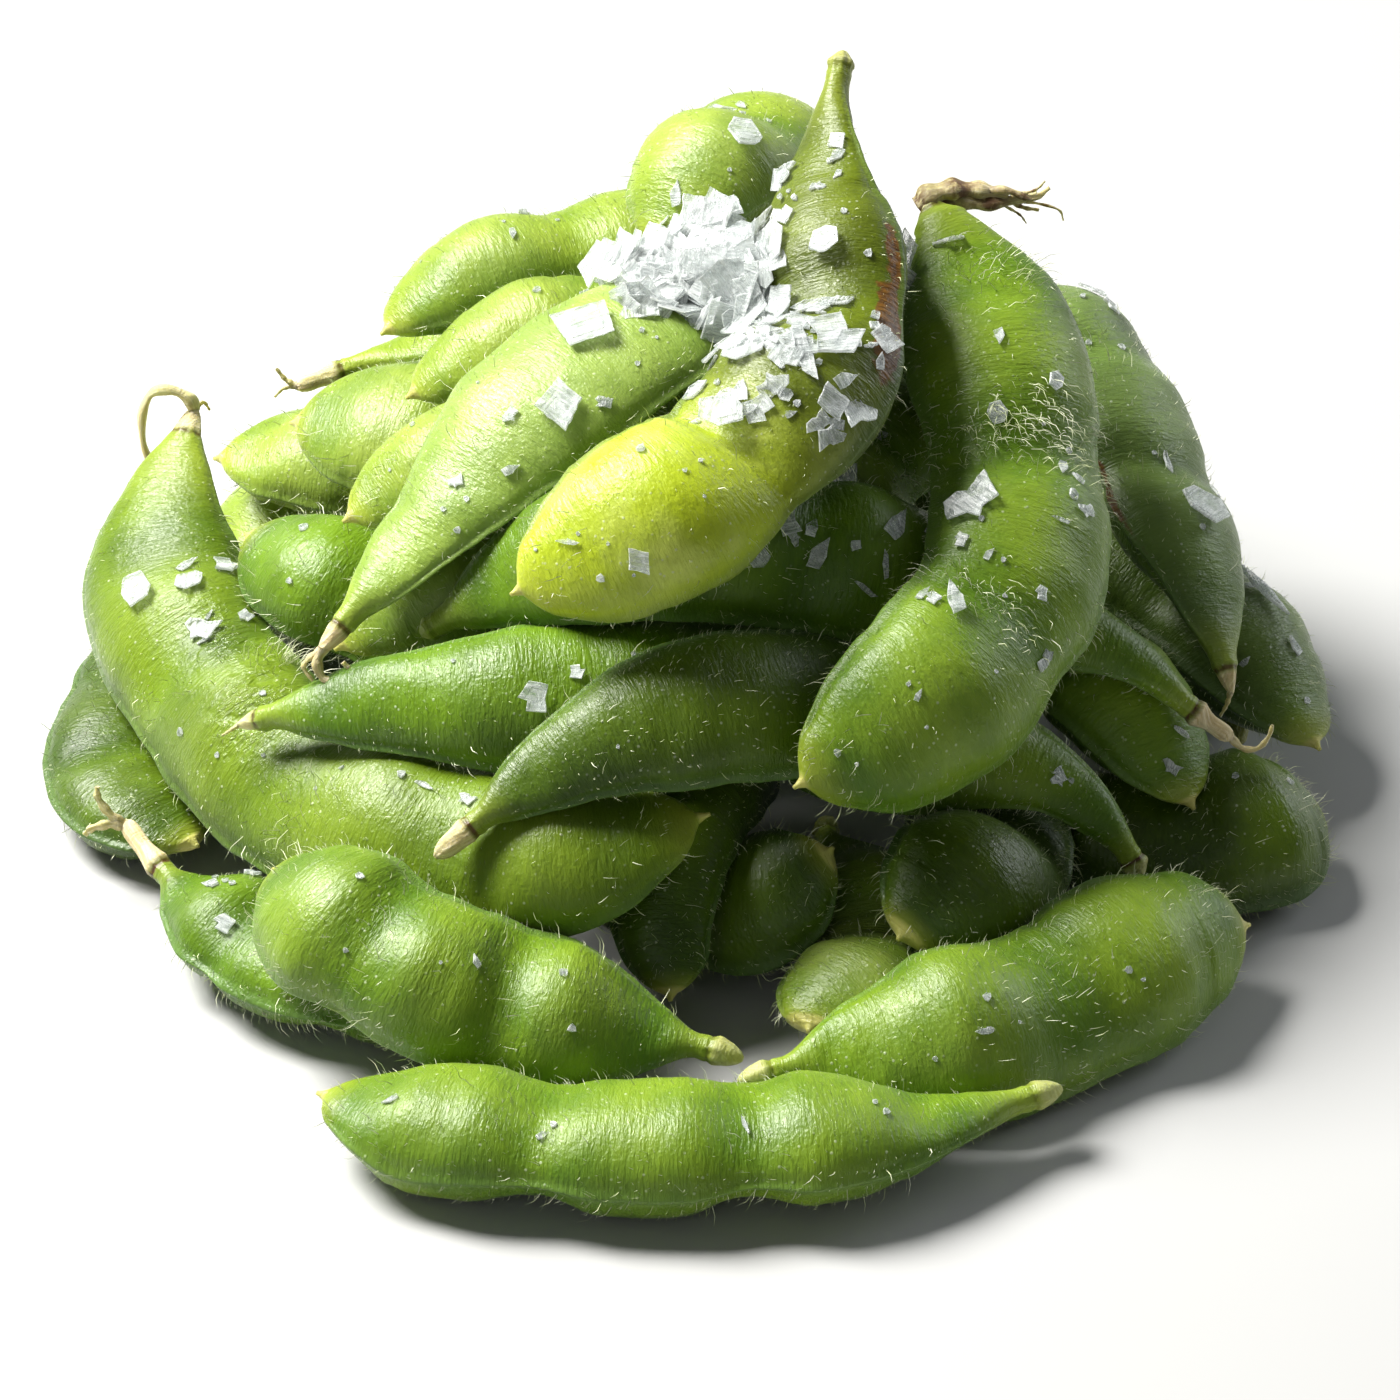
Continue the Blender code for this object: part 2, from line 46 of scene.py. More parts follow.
POD_SEED, LARGE_SEED, SCATTER_SEED, PILE_SEED = 100, 500, 77, 31

# How part.py draws a pod: points to a ring, how sharply the section is drawn in, rings along the body.
SIDES = 10
PINCH = 1.2
BODY_RINGS = 14
BEANS_FROM, BEANS_TO = 0.14, 0.93
# How far round a ring its second point from a seam is.
SECOND_POINT = 2 * 2 * math.pi / SIDES

# The fine pod: rows along its body and along its stalk, and half of its columns, closer near the seams.
BODY_ROWS = 104
STALK_ROWS = 9
HALF = np.radians([0, 3, 6, 10, 15, 21, *range(30, 160, 10), 159, 165, 170, 174, 177])
TURNS = np.concatenate([HALF, HALF + math.pi])
DEGREES = np.degrees(TURNS)
OFF_STRAIGHT, OFF_WAVY = np.minimum(DEGREES, 360 - DEGREES), np.abs(DEGREES - 180)

# Each tint is three greens as linear light: the darker patches, the usual skin and the swollen beans. Some
# tints also hold painted shade, and two hold painted sheen, as said at each.
Tint = namedtuple("Tint", "dark mid light")
TINTS = {
    # olive is the tall pod's own olive green, darkened further as painted shade on its upper part.
    "olive": Tint((0.052, 0.078, 0.001), (0.100, 0.142, 0.002), (0.190, 0.240, 0.012)),
    # lime is the tall pod's own yellower front bean, made brighter as painted light where the bean is lit.
    "lime": Tint((0.250, 0.340, 0.006), (0.400, 0.505, 0.014), (0.540, 0.630, 0.100)),
    # silk is paler and bluer than the salted pod's own green: partly painted sheen, the whitish haze of lit
    # fine hairs.
    "silk": Tint((0.150, 0.255, 0.020), (0.290, 0.420, 0.060), (0.480, 0.590, 0.190)),
    # fresh has its light green paler and bluer than the beans' own colour, partly painted sheen.
    "fresh": Tint((0.115, 0.210, 0.008), (0.235, 0.335, 0.024), (0.410, 0.490, 0.125)),
    "green": Tint((0.070, 0.158, 0.003), (0.152, 0.262, 0.007), (0.300, 0.410, 0.045)),
    # curve is a darker green for the left curved pod: painted shade.
    "curve": Tint((0.066, 0.128, 0.002), (0.135, 0.225, 0.004), (0.260, 0.350, 0.030)),
    # leaf is the pods' own saturated green, made darker as painted shade for pods lying low at the front.
    "leaf": Tint((0.048, 0.115, 0.001), (0.112, 0.222, 0.003), (0.220, 0.350, 0.018)),
    # deep is a dark green for pods that lie in shade between others: painted shade, darker than their own
    # green.
    "deep": Tint((0.026, 0.062, 0.001), (0.070, 0.132, 0.002), (0.150, 0.225, 0.008)),
    "blue": Tint((0.050, 0.100, 0.008), (0.105, 0.180, 0.018), (0.200, 0.290, 0.052)),
    "pale": Tint((0.070, 0.125, 0.018), (0.140, 0.225, 0.038), (0.250, 0.350, 0.105)),
}

# What a pod is like beyond its CAD shape, and what is usual. Each of its scars, glosses, folds and tufts is a
# share along the pod, degrees round it, how long (a share) and how wide (degrees), and what the note adds.
USUAL_LOOK = {
    "tint": "fresh",
    "beans": 3,
    "hairs": 1.0,  # how many longer hairs, for the usual number
    "wet": 0.10,  # how strongly water coats the skin
    "scars": (),  # reddish brown blemishes, and how strong each is
    "plump": 0.5,  # how far the beans swell and the waists between them sink
    "dots": False,  # whether the skin has small dark dots
    "turns_to": None,  # another tint, and the shares along between which it takes over
    "stalk": 1.0,  # how dry the stalk is
    "gloss": (),  # wet wrinkled places
    "folds": (),  # creases, and how many millimetres deep each is
    "blunt": 0.0,  # half the width in millimetres with which the body starts, where it has hardly any neck
    "stem": 1.0,  # how thick the stalk is, for the CAD one's thickness
    "tufts": (),  # long hairs, and how many
}
Look = namedtuple("Look", USUAL_LOOK, defaults=USUAL_LOOK.values())
# The olive, curve, leaf and deep tints given here are partly painted shade, and the silk and fresh ones partly
# painted sheen.
LOOKS = {
    # The tall pod's olive upper part is partly painted shade, and its lime bean end is partly painted light.
    "tall": Look(
        "olive", hairs=0.6, wet=0.2, plump=1.7, turns_to=("lime", 0.62, 0.78), stalk=0.3,
        scars=[(0.44, 157, 0.055, 13, 2.6), (0.34, 166, 0.04, 8, 1.6)],
        folds=[(0.672, 70, 0.018, 80, 1.1)],
    ),
    "front_right": Look(
        "green", hairs=1.8, wet=0.12, plump=0.8, blunt=2.4, stem=0.8,
        tufts=[(0.38, 85, 0.045, 55, 300), (0.13, 100, 0.05, 50, 130), (0.66, 60, 0.03, 40, 70)],
    ),
    "salted": Look("silk", beans=1, hairs=0.4, wet=0.25, plump=0.1, stem=0.75),
    "top_back": Look(hairs=0.6, wet=0.15, plump=0.8),
    "left_fan_top": Look(hairs=0.7),
    "left_fan_middle": Look(hairs=0.5),
    "left_back_broad": Look(hairs=0.6),
    "left_fan_low": Look(hairs=0.6),
    "under_salted": Look(hairs=0.6),
    "left_back_stem": Look(hairs=0.5),
    # Its curve tint is darker than its own green as painted shade.
    "left_curve": Look(
        "curve", beans=4, hairs=1.5, wet=0.25, plump=0.8, stem=0.8,
        tufts=[(0.40, 160, 0.03, 25, 110), (0.58, 70, 0.04, 30, 60)],
        gloss=[(0.46, 110, 0.060, 30), (0.33, 122, 0.05, 20)],
    ),
    "middle_front_broad": Look("leaf", hairs=0.4, plump=0.3, stalk=0.1),
    "front_pointing_left": Look("leaf", beans=1, hairs=0.4, wet=0.3, plump=0.1, stalk=0.9, stem=0.6),
    "front_left_inner": Look(beans=2),
    # These front pods get the deep tint, a painted shade.
    "front_pointing_stem": Look("deep", beans=1, hairs=0.5, plump=0.1, stem=0.9),
    "front_hanging": Look("deep", beans=1, hairs=0.3, plump=0.1),
    "front_dark_cross": Look("deep"),
    "front_dark_bean": Look("deep", beans=2),
    "front_edge_right": Look("green", beans=2, hairs=0.8, wet=0.15, plump=0.8, stalk=0.40),
    "front_right_tail": Look("green", beans=1, hairs=0.4, plump=0.1, stalk=0.5),
    "right_pointing": Look("green", beans=2, hairs=0.4, plump=0.2),
    "right_ridge": Look("green", hairs=0.5),
    "right_back_twist": Look(
        "pale", hairs=0.6, plump=0.2, stem=0.6,
        scars=[(0.36, 174, 0.17, 8, 1.0), (0.93, 120, 0.06, 50, 0.8)],
    ),
    "right_outer_dark": Look("blue", hairs=0.8),
    "right_low_bean": Look("deep", beans=2),
    "right_inner_hairy": Look("green", hairs=2.2),
    "base_left": Look("deep", hairs=0.8),
    "base_front_left": Look("leaf", dots=True, wet=0.15, plump=0.3),
    "front_edge_left": Look("green", wet=0.2, plump=0.7, stalk=0.40),
    "base_front": Look("green", hairs=0.8, stalk=0.40),
    "left_inner_green": Look("leaf", hairs=1.6),
    "left_inner_dark": Look("deep", hairs=1.2),
    "core_left": Look("deep", hairs=1.2),
}
# The other pods have the usual look with one of these tints and a stalk that is less dry. The deep one among
# them is painted shade.
OTHER_TINTS = ("green", "fresh", "deep")
OTHER_STALK = 0.40


def looks_of(name):
    """The look that the table gives a pod, or the one of the other pods."""
    return LOOKS.get(name, Look(OTHER_TINTS[len(name) % len(OTHER_TINTS)], stalk=OTHER_STALK))


def ramp_up(t):
    """0 below 0, 1 above 1, and smooth between."""
    t = np.clip(t, 0, 1)
    return t * t * (3 - 2 * t)


def hump(x, middle, width):
    return np.exp(-(((x - middle) / width) ** 2))


def unit(vectors):
    return vectors / np.maximum(np.linalg.norm(vectors, axis=-1, keepdims=True), 1e-12)


def through(x, y, at, level=False):
    """A smooth curve through y at x, read at other places. level keeps it from overshooting."""
    x, y = np.asarray(x, float), np.asarray(y, float)
    flat = y.ndim == 1
    y = y.reshape(len(x), -1)
    step = np.diff(x)[:, None]
    slope = np.diff(y, axis=0) / step
    middle = (step[:-1] * slope[1:] + step[1:] * slope[:-1]) / (step[:-1] + step[1:])
    if level:
        middle = np.where(slope[:-1] * slope[1:] <= 0, 0, np.sign(middle) * np.minimum(
            abs(middle), 2 * np.minimum(abs(slope[:-1]), abs(slope[1:]))))
    tangent = np.vstack([slope[:1], middle, slope[-1:]])
    i = np.clip(np.searchsorted(x, at, side="right") - 1, 0, len(x) - 2)
    h = step[i]
    t = ((at - x[i]) / h[:, 0])[:, None]
    value = (
        (1 + 2 * t) * (1 - t) ** 2 * y[i]
        + t * (1 - t) ** 2 * h * tangent[i]
        + t**2 * (3 - 2 * t) * y[i + 1]
        + t**2 * (t - 1) * h * tangent[i + 1]
    )
    return value[:, 0] if flat else value


def ripples(rng, count, lengths, most_round):
    """A seamless random surface over distance along and turn round, from about -1 to 1."""
    waves = [
        (2 * math.pi / rng.uniform(*lengths), rng.integers(-most_round, most_round + 1), rng.uniform(0, 6.3))
        for _ in range(count)
    ]

    def height(along, turn):
        return sum(np.sin(k * along + m * turn + phase) for k, m, phase in waves) / math.sqrt(count)

    return height


Stations = namedtuple("Stations", "at middle side face straight wavy thick start")


def read_pod(node):
    """The pod's rings as its CAD solid has them: where each is, the ways it faces and its sizes."""
    bm = bmesh.new()
    bm.from_mesh(node.data)
    bmesh.ops.remove_doubles(bm, verts=bm.verts, dist=1e-6)
    # The beak is joined to a whole ring, by longer edges than the middle of the stalk's cut end is.
    fans = [vert for vert in bm.verts if len(vert.link_edges) == SIDES]
    beak = max(fans, key=lambda vert: sum(edge.calc_length() for edge in vert.link_edges))
    layers, seen = [], {beak}
    found = {edge.other_vert(beak) for edge in beak.link_edges}
    while len(found) == SIDES:
        seen |= found
        layers.append(np.array([vert.co for vert in found]))
        found = {edge.other_vert(vert) for vert in found for edge in vert.link_edges} - seen
    tip = np.array(beak.co)
    rings = layers[::-1]
    bm.free()
    centres = np.array([ring.mean(0) for ring in rings])
    alongs = unit(np.gradient(np.vstack([centres, tip]), axis=0))[:-1]
    ordered = []
    for ring, centre, along in zip(rings[::-1], centres[::-1], alongs[::-1]):
        across = np.array(Vector(along).orthogonal().normalized())
        arms = ring - centre
        angles = np.arctan2(arms @ np.cross(along, across), arms @ across)
        ring = ring[np.argsort(-angles)]
        if ordered:
            last = ordered[-1] - ordered[-1].mean(0)
            misses = [((np.roll(ring, k, axis=0) - centre - last) ** 2).sum() for k in range(SIDES)]
            ring = np.roll(ring, int(np.argmin(misses)), axis=0)
        ordered.append(ring)
    rings = np.array(ordered[::-1])
    half = SIDES // 2
    widths = np.linalg.norm(rings[:, :half] - rings[:, half:], axis=2)
    seam = int(np.argmax(widths.max(0)))
    shapes = []
    for first in (seam, seam + half):
        turned = np.roll(rings, -first, axis=1)
        inner = (turned[:, 2] + turned[:, 8]) / 2
        arm = turned[:, 0] - inner
        straight = np.linalg.norm(arm, axis=1) / (1 - math.cos(SECOND_POINT))
        side = unit(arm)
        middle = turned[:, 0] - straight[:, None] * side
        wavy = np.linalg.norm(turned[:, 5] - middle, axis=1)
        through_it = turned[:, 2] - turned[:, 8]
        thick = np.linalg.norm(through_it, axis=1) / (2 * math.sin(SECOND_POINT) ** PINCH)
        shapes.append((middle, side, unit(through_it), straight, wavy, thick))
    middle, side, face, straight, wavy, thick = max(shapes, key=lambda s: (s[3] / s[4])[4:-2].sum())
    line = np.vstack([middle, tip])
    at = np.concatenate([[0], np.cumsum(np.linalg.norm(np.diff(line, axis=0), axis=1))])
    start = at[len(rings) - BODY_RINGS]
    return Stations(at, line, side, face, straight, wavy, thick, start)


Grid = namedtuple("Grid", "points along body swell length")

# The fine pod beyond its CAD rings: how much closer its rows lie at its ends, as a share of its length.
ROWS_CROWD = 0.085
# In millimetres: half the beak's thickness at its tip and what its foot adds, and the calyx's reach.
BEAK_TIP, BEAK_FOOT, CALYX_REACH = 0.16, 0.50, 2.2
# In millimetres: how far the stalk's cut end and a blunt body's start are rounded.
CUT_ROUNDING, BLUNT_ROUNDING = 1.0, 1.4
# As shares: where the body's last stretch starts to round off, and how much slimmer the pod is at its calyx.
ROUNDS_FROM, CALYX_SLIM = 0.38, 0.26
# How much a fully plump pod is thicker at its beans and thinner and narrower at its waists.
BEAN_SWELL, WAIST_SINK, WAIST_NARROW = 0.07, 0.10, 0.08
# Each seam in millimetres and degrees: how proud and wide, then how deep, how far off and how wide its grooves.
STRAIGHT_SEAM, WAVY_SEAM = (0.30, 6, 0.14, 14, 6), (0.20, 6, 0.08, 13, 5)
# Waves in the skin: how many, least and most length in millimetres, and how many at most go round.
BROAD_WAVES, DENTS = (7, 9, 26, 2), (9, 3.5, 8, 4)
CREASES, CREASE_PATCHES = (9, 1.5, 2.6, 2), (5, 8, 20, 3)
BROAD_HEIGHT, DENT_HEIGHT, CREASE_HEIGHT = 0.16, 0.06, 0.045
# How far the skin stays above the floor, in millimetres.
FLOOR_GAP = 0.02


def patch_at(body, share, middle, long, wide):
    """1 at a place on a pod, falling to 0 round it."""
    off = np.abs((DEGREES - middle + 180) % 360 - 180)
    return hump(body, share, long) * hump(off, 0, wide)


def seam_lift(off, proud, wide, deep, aside, groove):
    """A seam that stands a little proud between two shallow grooves, over the degrees off it."""
    return proud * hump(off, 0, wide) - deep * hump(off, aside, groove)


def pod_sizes(stations, look, at, body, length):
    """Half the fine pod's widths and thickness at each row, with how much there is a bean or a waist."""
    inner = stations.at[:-1]
    read = (stations.straight, stations.wavy, stations.thick)
    sizes = np.array([through(inner, size, np.minimum(at, inner[-1]), level=True) for size in read])
    past = body * length / MM
    # The end of the body rounds off into a small pointed beak.
    distance = (1 - body) * length
    last = (1 - (inner[-1] - stations.start) / length) * length
    close = np.clip(distance / last, 0, 1)
    rounding = np.where(close < 1, np.sqrt(np.clip((close - ROUNDS_FROM) / (1 - ROUNDS_FROM), 0, 1)), 1)
    beak = (BEAK_TIP + BEAK_FOOT * ramp_up(distance / (0.55 * last))) * MM * (close < 1)
    slim = 1 - CALYX_SLIM * hump(past, 0, CALYX_REACH)
    slim = slim * (1 + (look.stem - 1) * ramp_up((0.4 - past) / 0.9))
    slim = slim * (0.3 + 0.7 * np.sqrt(np.clip(at / (CUT_ROUNDING * MM), 0, 1)))
    sizes = np.maximum(sizes * rounding, beak) * slim
    shoulder = look.blunt * MM * np.sqrt(np.clip(past / BLUNT_ROUNDING, 0, 1)) * ramp_up((0.3 - body) / 0.15)
    straight, wavy, thick = np.maximum(sizes, np.outer((1, 1, 0.75), shoulder))
    spacing = (BEANS_TO - BEANS_FROM) / look.beans
    places = [BEANS_FROM + (bean + 0.5) * spacing for bean in range(look.beans)]
    swell = np.max([hump(body, place, 0.36 * spacing) for place in places], axis=0)
    swell = swell * ramp_up((body - 0.04) / 0.1)
    waist = np.where((body > 0.2) & (body < 0.86), 1 - swell, 0)
    thick = thick * (1 + BEAN_SWELL * look.plump * swell - WAIST_SINK * look.plump * waist)
    narrow = 1 - WAIST_NARROW * max(0, look.plump - 1) * waist
    return straight * narrow, wavy * narrow, thick, swell, waist


def skin_lift(look, rng, at, body, length, wavy, waist, flatness):
    """How far the skin stands proud of the smooth pod at each point: seams, dents, wrinkles and creases."""
    room = (flatness * np.minimum(1, wavy / (4 * MM)))[:, None]
    lift = room * MM * (seam_lift(OFF_STRAIGHT, *STRAIGHT_SEAM) + seam_lift(OFF_WAVY, *WAVY_SEAM))
    # Soft dents, and wrinkles across the pod that are strongest at its waists and neck.
    along = at[:, None]
    broad, dents, creases, patch = [
        ripples(rng, count, (least * MM, most * MM), most_round)(along, TURNS)
        for count, least, most, most_round in (BROAD_WAVES, DENTS, CREASES, CREASE_PATCHES)
    ]
    lift = lift + room * MM * (BROAD_HEIGHT * broad + DENT_HEIGHT * dents)
    near_waist = np.clip(0.25 + waist + hump(body, 0.06, 0.08), 0, 1.2)[:, None]
    lift = lift + room * MM * CREASE_HEIGHT * near_waist * creases * (0.6 + 0.4 * patch)
    for *place, deep in look.folds:
        lift = lift - deep * MM * patch_at(body[:, None], *place)
    # The stalk is shrivelled into ridges, and swells into a collar where the calyx was.
    past = (body * length / MM)[:, None]
    before = np.clip(-past, 0, 6)
    dry = ramp_up(before / 0.5)
    ridges = np.sin(5 * TURNS + rng.uniform(0, 6)) + 0.6 * np.sin(9 * TURNS + 900 * along + rng.uniform(0, 6))
    lift = lift + dry * MM * (0.03 * ridges - 0.05 * ramp_up((before - 0.8) / 1.0))
    lift = lift + MM * (0.10 * hump(past, -0.45, 0.4) - 0.13 * hump(past, 0.15, 0.2))
    return lift + 0.05 * MM * hump(np.abs(past), 0, 0.8) * np.sin(8 * TURNS + rng.uniform(0, 6))


def pod_grid(stations, look, rng):
    """The fine pod's points, rows from the stalk's cut end to the beak and columns round it."""
    length = stations.at[-1] - stations.start
    even = np.linspace(0, 1, BODY_ROWS)
    share = even - ROWS_CROWD * np.sin(2 * math.pi * even)
    stalk = np.linspace(-stations.start, 0, STALK_ROWS, endpoint=False)
    at = np.concatenate([stalk, share * length]) + stations.start
    body = (at - stations.start) / length
    inner = stations.at[:-1]
    middle = through(stations.at, stations.middle, at)[:, None]
    side = unit(through(inner, stations.side, np.minimum(at, inner[-1])))[:, None]
    face = unit(through(inner, stations.face, np.minimum(at, inner[-1])))[:, None]
    straight, wavy, thick, swell, waist = pod_sizes(stations, look, at, body, length)
    flatness = ramp_up(body / 0.12) * ramp_up((0.985 - body) / 0.05)
    pinch = 1 + (0.02 + 0.1 * swell + 0.32 * waist) * flatness
    cos, sin = np.cos(TURNS), np.sin(TURNS)
    across = np.where(cos > 0, straight[:, None], wavy[:, None]) * cos
    out = thick[:, None] * np.sign(sin) * np.abs(sin) ** pinch[:, None]
    outward = unit((cos / straight[:, None])[..., None] * side + (sin / thick[:, None])[..., None] * face)
    points = middle + across[..., None] * side + out[..., None] * face
    lift = skin_lift(look, rng, at, body, length, wavy, waist, flatness)
    points = points + lift[..., None] * outward
    points[..., 2] = np.maximum(points[..., 2], FLOOR_GAP * MM)
    return Grid(points, at, body, swell[:, None] * np.abs(sin) ** 0.8, length)


def grid_faces(rows, columns):
    """Quads between rows of points that close round, as index rows."""
    row, column = np.meshgrid(np.arange(rows - 1), np.arange(columns), indexing="ij")
    a = row * columns + column
    b = row * columns + (column + 1) % columns
    return np.stack([a, a + columns, b + columns, b], axis=-1).reshape(-1, 4)


class Shape:
    """Points, faces and what the materials read at each point, gathered for one mesh."""

    def __init__(self):
        self.points, self.faces, self.values = [], [], {}
        self.count = 0

    def add(self, points, faces, **values):
        """Adds points, faces (lists of indices) and, for the materials, one value or one for each point."""
        points = np.reshape(points, (-1, 3))
        self.faces += [[index + self.count for index in face] for face in faces]
        for name, value in values.items():
            value = np.broadcast_to(np.asarray(value, float), (len(points), *np.shape(value)[1:]))
            self.values.setdefault(name, []).append((self.count, value))
        self.points.append(points)
        self.count += len(points)

    def build(self, name, material, smooth=True):
        mesh = bpy.data.meshes.new(name)
        points = np.concatenate(self.points)
        mesh.from_pydata(points.tolist(), [], self.faces)
        for key, parts in self.values.items():
            wide = parts[0][1].ndim == 2
            values = np.zeros((len(points), 3) if wide else len(points), np.float32)
            for start, value in parts:
                values[start:start + len(value)] = value
            layer = mesh.attributes.new(key, "FLOAT_VECTOR" if wide else "FLOAT", "POINT")
            layer.data.foreach_set("vector" if wide else "value", values.ravel())
        mesh.materials.append(material)
        mesh.polygons.foreach_set("use_smooth", [smooth] * len(self.faces))
        mesh.update()
        thing = bpy.data.objects.new(name, mesh)
        bpy.context.scene.collection.objects.link(thing)
        return thing


class Wires:
    """Short names for making shader nodes."""

    def __init__(self, name):
        self.material = bpy.data.materials.new(name)
        self.material.use_nodes = True
        self.tree = self.material.node_tree
        self.shader = self.tree.nodes["Principled BSDF"]

    def link(self, value, socket):
        if isinstance(value, bpy.types.NodeSocket):
            self.tree.links.new(value, socket)
        elif value is not None:
            if isinstance(value, tuple) and len(value) == 3 and len(socket.default_value) == 4:
                value = (*value, 1)
            socket.default_value = value

    def set(self, **values):
        """Sets the shader's sockets. An underscore stands for a space."""
        for name, value in values.items():
            self.link(value, self.shader.inputs[name.replace("_", " ")])

    def node(self, kind, inputs, output, **settings):
        """A new node's output. inputs has a value or a node's output for each socket's name or number."""
        node = self.tree.nodes.new("ShaderNode" + kind)
        for name, value in settings.items():
            setattr(node, name, value)
        for name, value in inputs.items():
            self.link(value, node.inputs[name])
        return node.outputs[output]

    def read(self, name, output="Fac"):
        """What a point of the mesh holds under this name: a number, or a vector where output says so."""
        return self.node("Attribute", {}, output, attribute_name=name)

    def place(self):
        return self.node("TexCoord", {}, "Object")

    def scaled(self, vector, x, y, z):
        return self.node("VectorMath", {0: vector, 1: (x, y, z)}, 0, operation="MULTIPLY")

    def noise(self, vector, scale, detail=2.0, rough=0.5, distortion=0.0):
        inputs = {"Vector": vector, "Scale": scale, "Detail": detail, "Roughness": rough}
        return self.node("TexNoise", {**inputs, "Distortion": distortion}, "Fac")

    def cells(self, vector, scale):
        return self.node("TexVoronoi", {"Vector": vector, "Scale": scale}, "Distance")

    def sum(self, operation, a, b):
        return self.node("Math", {0: a, 1: b}, 0, operation=operation)

    def times(self, a, b):
        return self.sum("MULTIPLY", a, b)

    def band(self, value, low, high, to_low=0.0, to_high=1.0):
        """value's place between low and high, smooth, as a number from to_low to to_high."""
        inputs = {"Value": value, "From Min": low, "From Max": high, "To Min": to_low, "To Max": to_high}
        return self.node("MapRange", inputs, "Result", interpolation_type="SMOOTHSTEP")

    def mix(self, share, a, b):
        return self.node("Mix", {0: share, 6: a, 7: b}, 2, data_type="RGBA")

    def bump(self, height, strength, distance, normal=None):
        inputs = {"Strength": strength, "Distance": distance, "Height": height, "Normal": normal}
        return self.node("Bump", inputs, 0)


# Colours that the pods share, as linear light.
NECK, END, BEAK = (0.40, 0.48, 0.06), (0.45, 0.50, 0.05), (0.52, 0.50, 0.14)
DOTS, CALYX_RING = (0.05, 0.05, 0.01), (0.085, 0.030, 0.010)
BLEMISHES = ((0.085, 0.022, 0.006), (0.21, 0.080, 0.013))
DRY_STALK, GREENER_STALK = ((0.54, 0.42, 0.21), (0.80, 0.72, 0.48)), (0.58, 0.60, 0.24)
HAIR = ((0.52, 0.58, 0.30), (0.80, 0.82, 0.62))
# A stalk less dry than this has a fainter ring where the calyx was.
FAINT_RING_BELOW = 0.5


